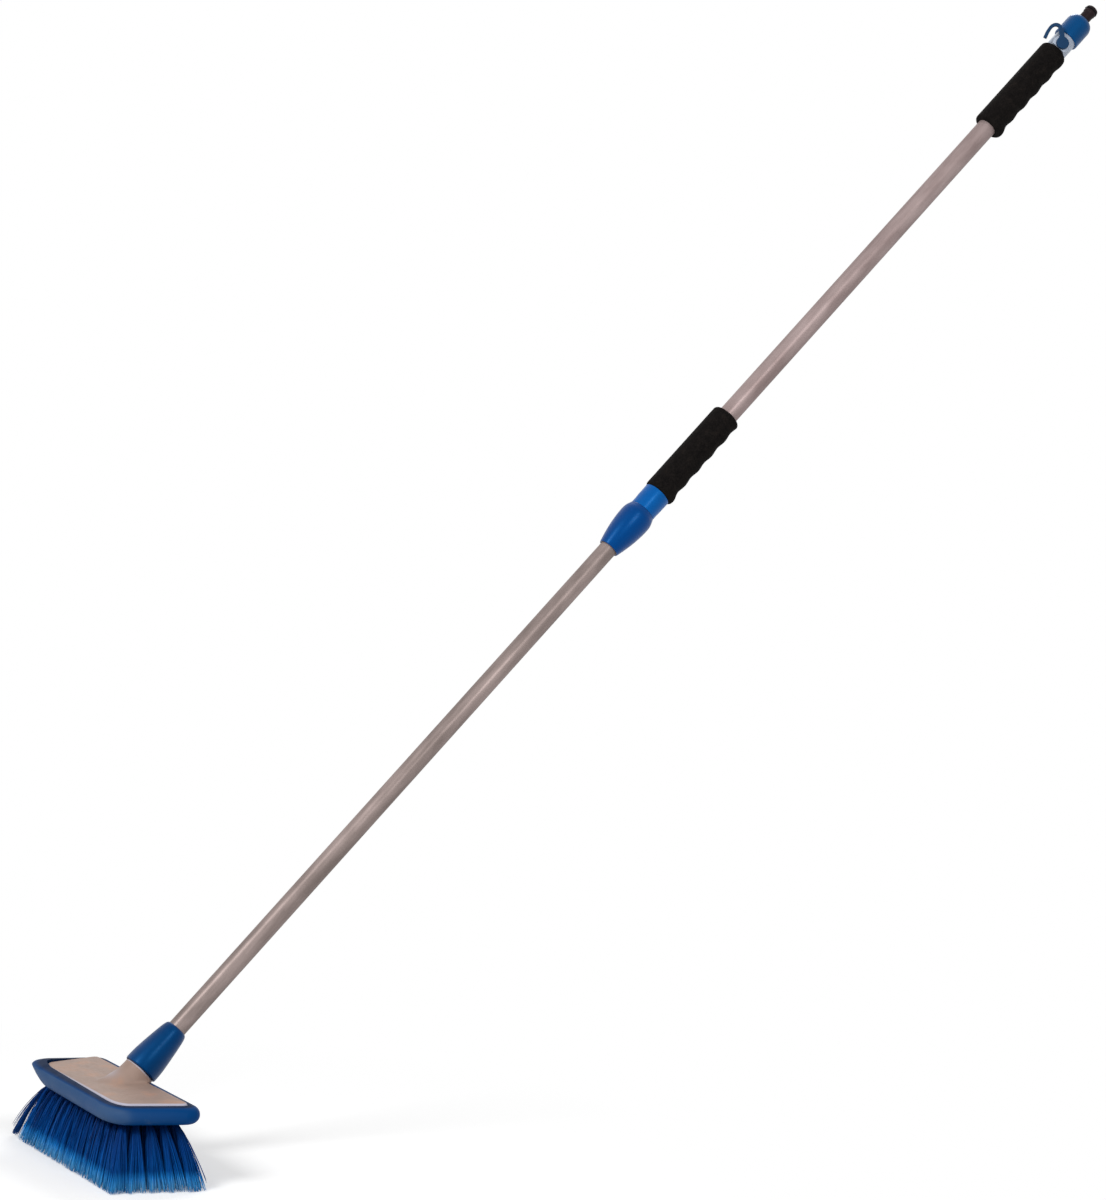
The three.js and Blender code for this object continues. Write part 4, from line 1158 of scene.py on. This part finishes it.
def valve_lever():
    """Hub disc, tapering arm and the open hook that a finger pulls, melted into one moulding."""
    middle = (LEVER_BACK + LEVER_FACE) / 2
    place = HANDLE @ Matrix.Translation((middle * MM, 0, hub_height * MM))
    disc = [
        (0, LEVER_BACK),
        (DISC_RADIUS, LEVER_BACK, 0.5),
        (DISC_RADIUS, LEVER_FACE, 1.1),
        (0, LEVER_FACE),
    ]
    lever = scratch("disc", *turned_mesh(softened(disc)), "lever", HUB)
    hook = scratch("hook", *swept(HOOK_POINTS, HOOK_WIDTH_HALF, 0.9), "lever", place)
    arm = scratch("arm", *swept(ARM_POINTS, ARM_WIDTH_HALF, 0.8), "lever", place)
    combine(lever, hook, "UNION")
    combine(lever, arm, "UNION")
    melted(lever, LEVER_VOXEL, LEVER_SMOOTHING)
    lever.name = "valve_lever_moulding"
    settle(lever, "valve", ("valve_lever",))


def hose_nipple():
    """The connector that a hose clicks on to, with its sealing ring in a groove."""
    dome_top = housing_foot + DOME_RISE + DOME_HEIGHT
    foot_end = dome_top - NIPPLE_PLUG_LENGTH
    collar = dome_top + PART_GAP
    tip = dome_top + NIPPLE_LENGTH
    groove = tip - GROOVE_PLACE
    profile = [
        (NIPPLE_PLUG, foot_end, 0),
        (NIPPLE_PLUG, collar, 0),
        (NIPPLE_STEM, collar, 0.3),
        (NIPPLE_STEM, tip - 10.6, 0.6),
        (NIPPLE_HEAD, tip - 9, 0.6),
        (NIPPLE_HEAD, groove, 0.25),
        (GROOVE_RADIUS, groove, 0.2),
        (GROOVE_RADIUS, groove + GROOVE_WIDTH, 0.2),
        (NIPPLE_HEAD, groove + GROOVE_WIDTH, 0.25),
        (NIPPLE_HEAD, tip - 1.3, 0.6),
        (6.9, tip, 0.4),
        (NIPPLE_BORE, tip, 0.3),
        (NIPPLE_BORE, foot_end, 0),
    ]
    ring = []
    for k in range(RING_SIDES):
        turn = TURN * k / RING_SIDES
        radius = RING_RADIUS + RING_THICKNESS_HALF * math.cos(turn)
        ring.append((radius, groove + GROOVE_WIDTH / 2 + RING_THICKNESS_HALF * math.sin(turn), 0))
    for name, form, slot, node in (
        ("hose_nipple_turned", profile, "nipple", "hose_nipple"),
        ("nipple_ring_moulded", ring, "seal", "nipple_ring"),
    ):
        turned_in_place(name, form, slot, "handle", HANDLE, (node,), NIPPLE_SEGMENTS)


valve_housing()
valve_dome()
valve_lever()
hose_nipple()


# ------------------------------------------------------------------------------------ stage

CAMERA_AT = Vector((3.5727, -1.5625, 0.9441))
CAMERA_TARGET = Vector((0.0824, 0.4897, 0.6485))
CAMERA_ROLL = math.radians(3.3)
FOCAL_LENGTH = 113.9
SENSOR_WIDTH = 36
LAMPS = (
    # name, place, what it points at, width, power
    ("key", (1.2, -3.4, 3.2), (0, 0.4, 0.5), 1.6, 114),
    ("fill", (3.2, 0.1, 2.7), (0, 0.5, 0.6), 1.2, 38),
    ("rim", (-2.2, 2.6, 3.2), (0, 0.6, 0.7), 1.4, 32),
)
WORLD_LIGHT = 0.3
FLOOR_HALF = 12
FLOOR_DROP = 0.4 * MM
FLOOR_LIFT = 0.26  # the floor's own light, seen by the camera and by gloss alone
FADE_FROM = 0.22
FADE_TO = 0.75


def aimed(at, towards):
    """The turn that points a camera or lamp from one place to another."""
    return (Vector(towards) - Vector(at)).to_track_quat("-Z", "Y")


def camera():
    data = bpy.data.cameras.new("camera")
    data.sensor_fit = "HORIZONTAL"
    data.sensor_width = SENSOR_WIDTH
    data.lens = FOCAL_LENGTH
    obj = linked("camera", data)
    aim = aimed(CAMERA_AT, CAMERA_TARGET).to_matrix().to_4x4()
    rotation = aim @ Matrix.Rotation(CAMERA_ROLL, 4, "Z")
    obj.matrix_world = Matrix.Translation(CAMERA_AT) @ rotation
    bpy.context.scene.camera = obj


def lamp(name, at, towards, size, power):
    data = bpy.data.lights.new(name, "AREA")
    data.shape = "DISK"
    data.size = size
    data.energy = power
    obj = linked(name, data)
    obj.location = at
    obj.rotation_euler = aimed(at, towards).to_euler()


def seen_directly(tree):
    """1 for rays from the camera or off gloss or through glass, 0 for light that falls on things."""
    path = tree.nodes.new("ShaderNodeLightPath")
    total = path.outputs["Is Camera Ray"]
    for name in ("Is Glossy Ray", "Is Transmission Ray"):
        either = tree.nodes.new("ShaderNodeMath")
        either.operation = "MAXIMUM"
        tree.links.new(total, either.inputs[0])
        tree.links.new(path.outputs[name], either.inputs[1])
        total = either.outputs[0]
    return total


def studio():
    """A white backdrop that gives little light of its own, and the lamps."""
    world = bpy.data.worlds.new("studio")
    world.use_nodes = True
    bpy.context.scene.world = world
    tree = world.node_tree
    background = tree.nodes["Background"]
    background.inputs["Color"].default_value = grey(1)
    level = tree.nodes.new("ShaderNodeMapRange")
    level.inputs["To Min"].default_value = WORLD_LIGHT
    level.inputs["To Max"].default_value = 1.0
    tree.links.new(seen_directly(tree), level.inputs["Value"])
    tree.links.new(level.outputs[0], background.inputs["Strength"])
    for settings in LAMPS:
        lamp(*settings)


def floor():
    """A pale floor that shows the shadow near the brush and fades to white further out."""
    size = FLOOR_HALF
    mesh = bpy.data.meshes.new("floor")
    corners = [(-size, -size, 0), (size, -size, 0), (size, size, 0), (-size, size, 0)]
    mesh.from_pydata(corners, [], [(0, 1, 2, 3)])
    obj = linked("floor", mesh)
    obj.location.z = -FLOOR_DROP
    shader = Shader("floor", Roughness=0.9, Base_Color=grey(0.9))
    tree = shader.tree
    seen = seen_directly(tree)
    glow = shader.add("ShaderNodeEmission", Strength=shader.maths("MULTIPLY", seen, FLOOR_LIFT))
    near = tree.nodes.new("ShaderNodeAddShader")
    tree.links.new(shader.principled.outputs[0], near.inputs[0])
    tree.links.new(glow.outputs[0], near.inputs[1])
    distance = shader.add("ShaderNodeVectorMath", Vector=shader.coordinates)
    distance.operation = "LENGTH"
    fade = shader.levels(distance.outputs["Value"], FADE_FROM, FADE_TO, 0.0, 1.0)
    white = shader.add("ShaderNodeEmission", Strength=1.0)
    both = shader.add("ShaderNodeMixShader", Fac=shader.maths("MULTIPLY", fade, seen))
    tree.links.new(near.outputs[0], both.inputs[1])
    tree.links.new(white.outputs[0], both.inputs[2])
    tree.links.new(both.outputs[0], tree.nodes["Material Output"].inputs["Surface"])
    mesh.materials.append(shader.material)


bpy.context.scene.view_settings.view_transform = "Standard"
camera()
studio()
floor()
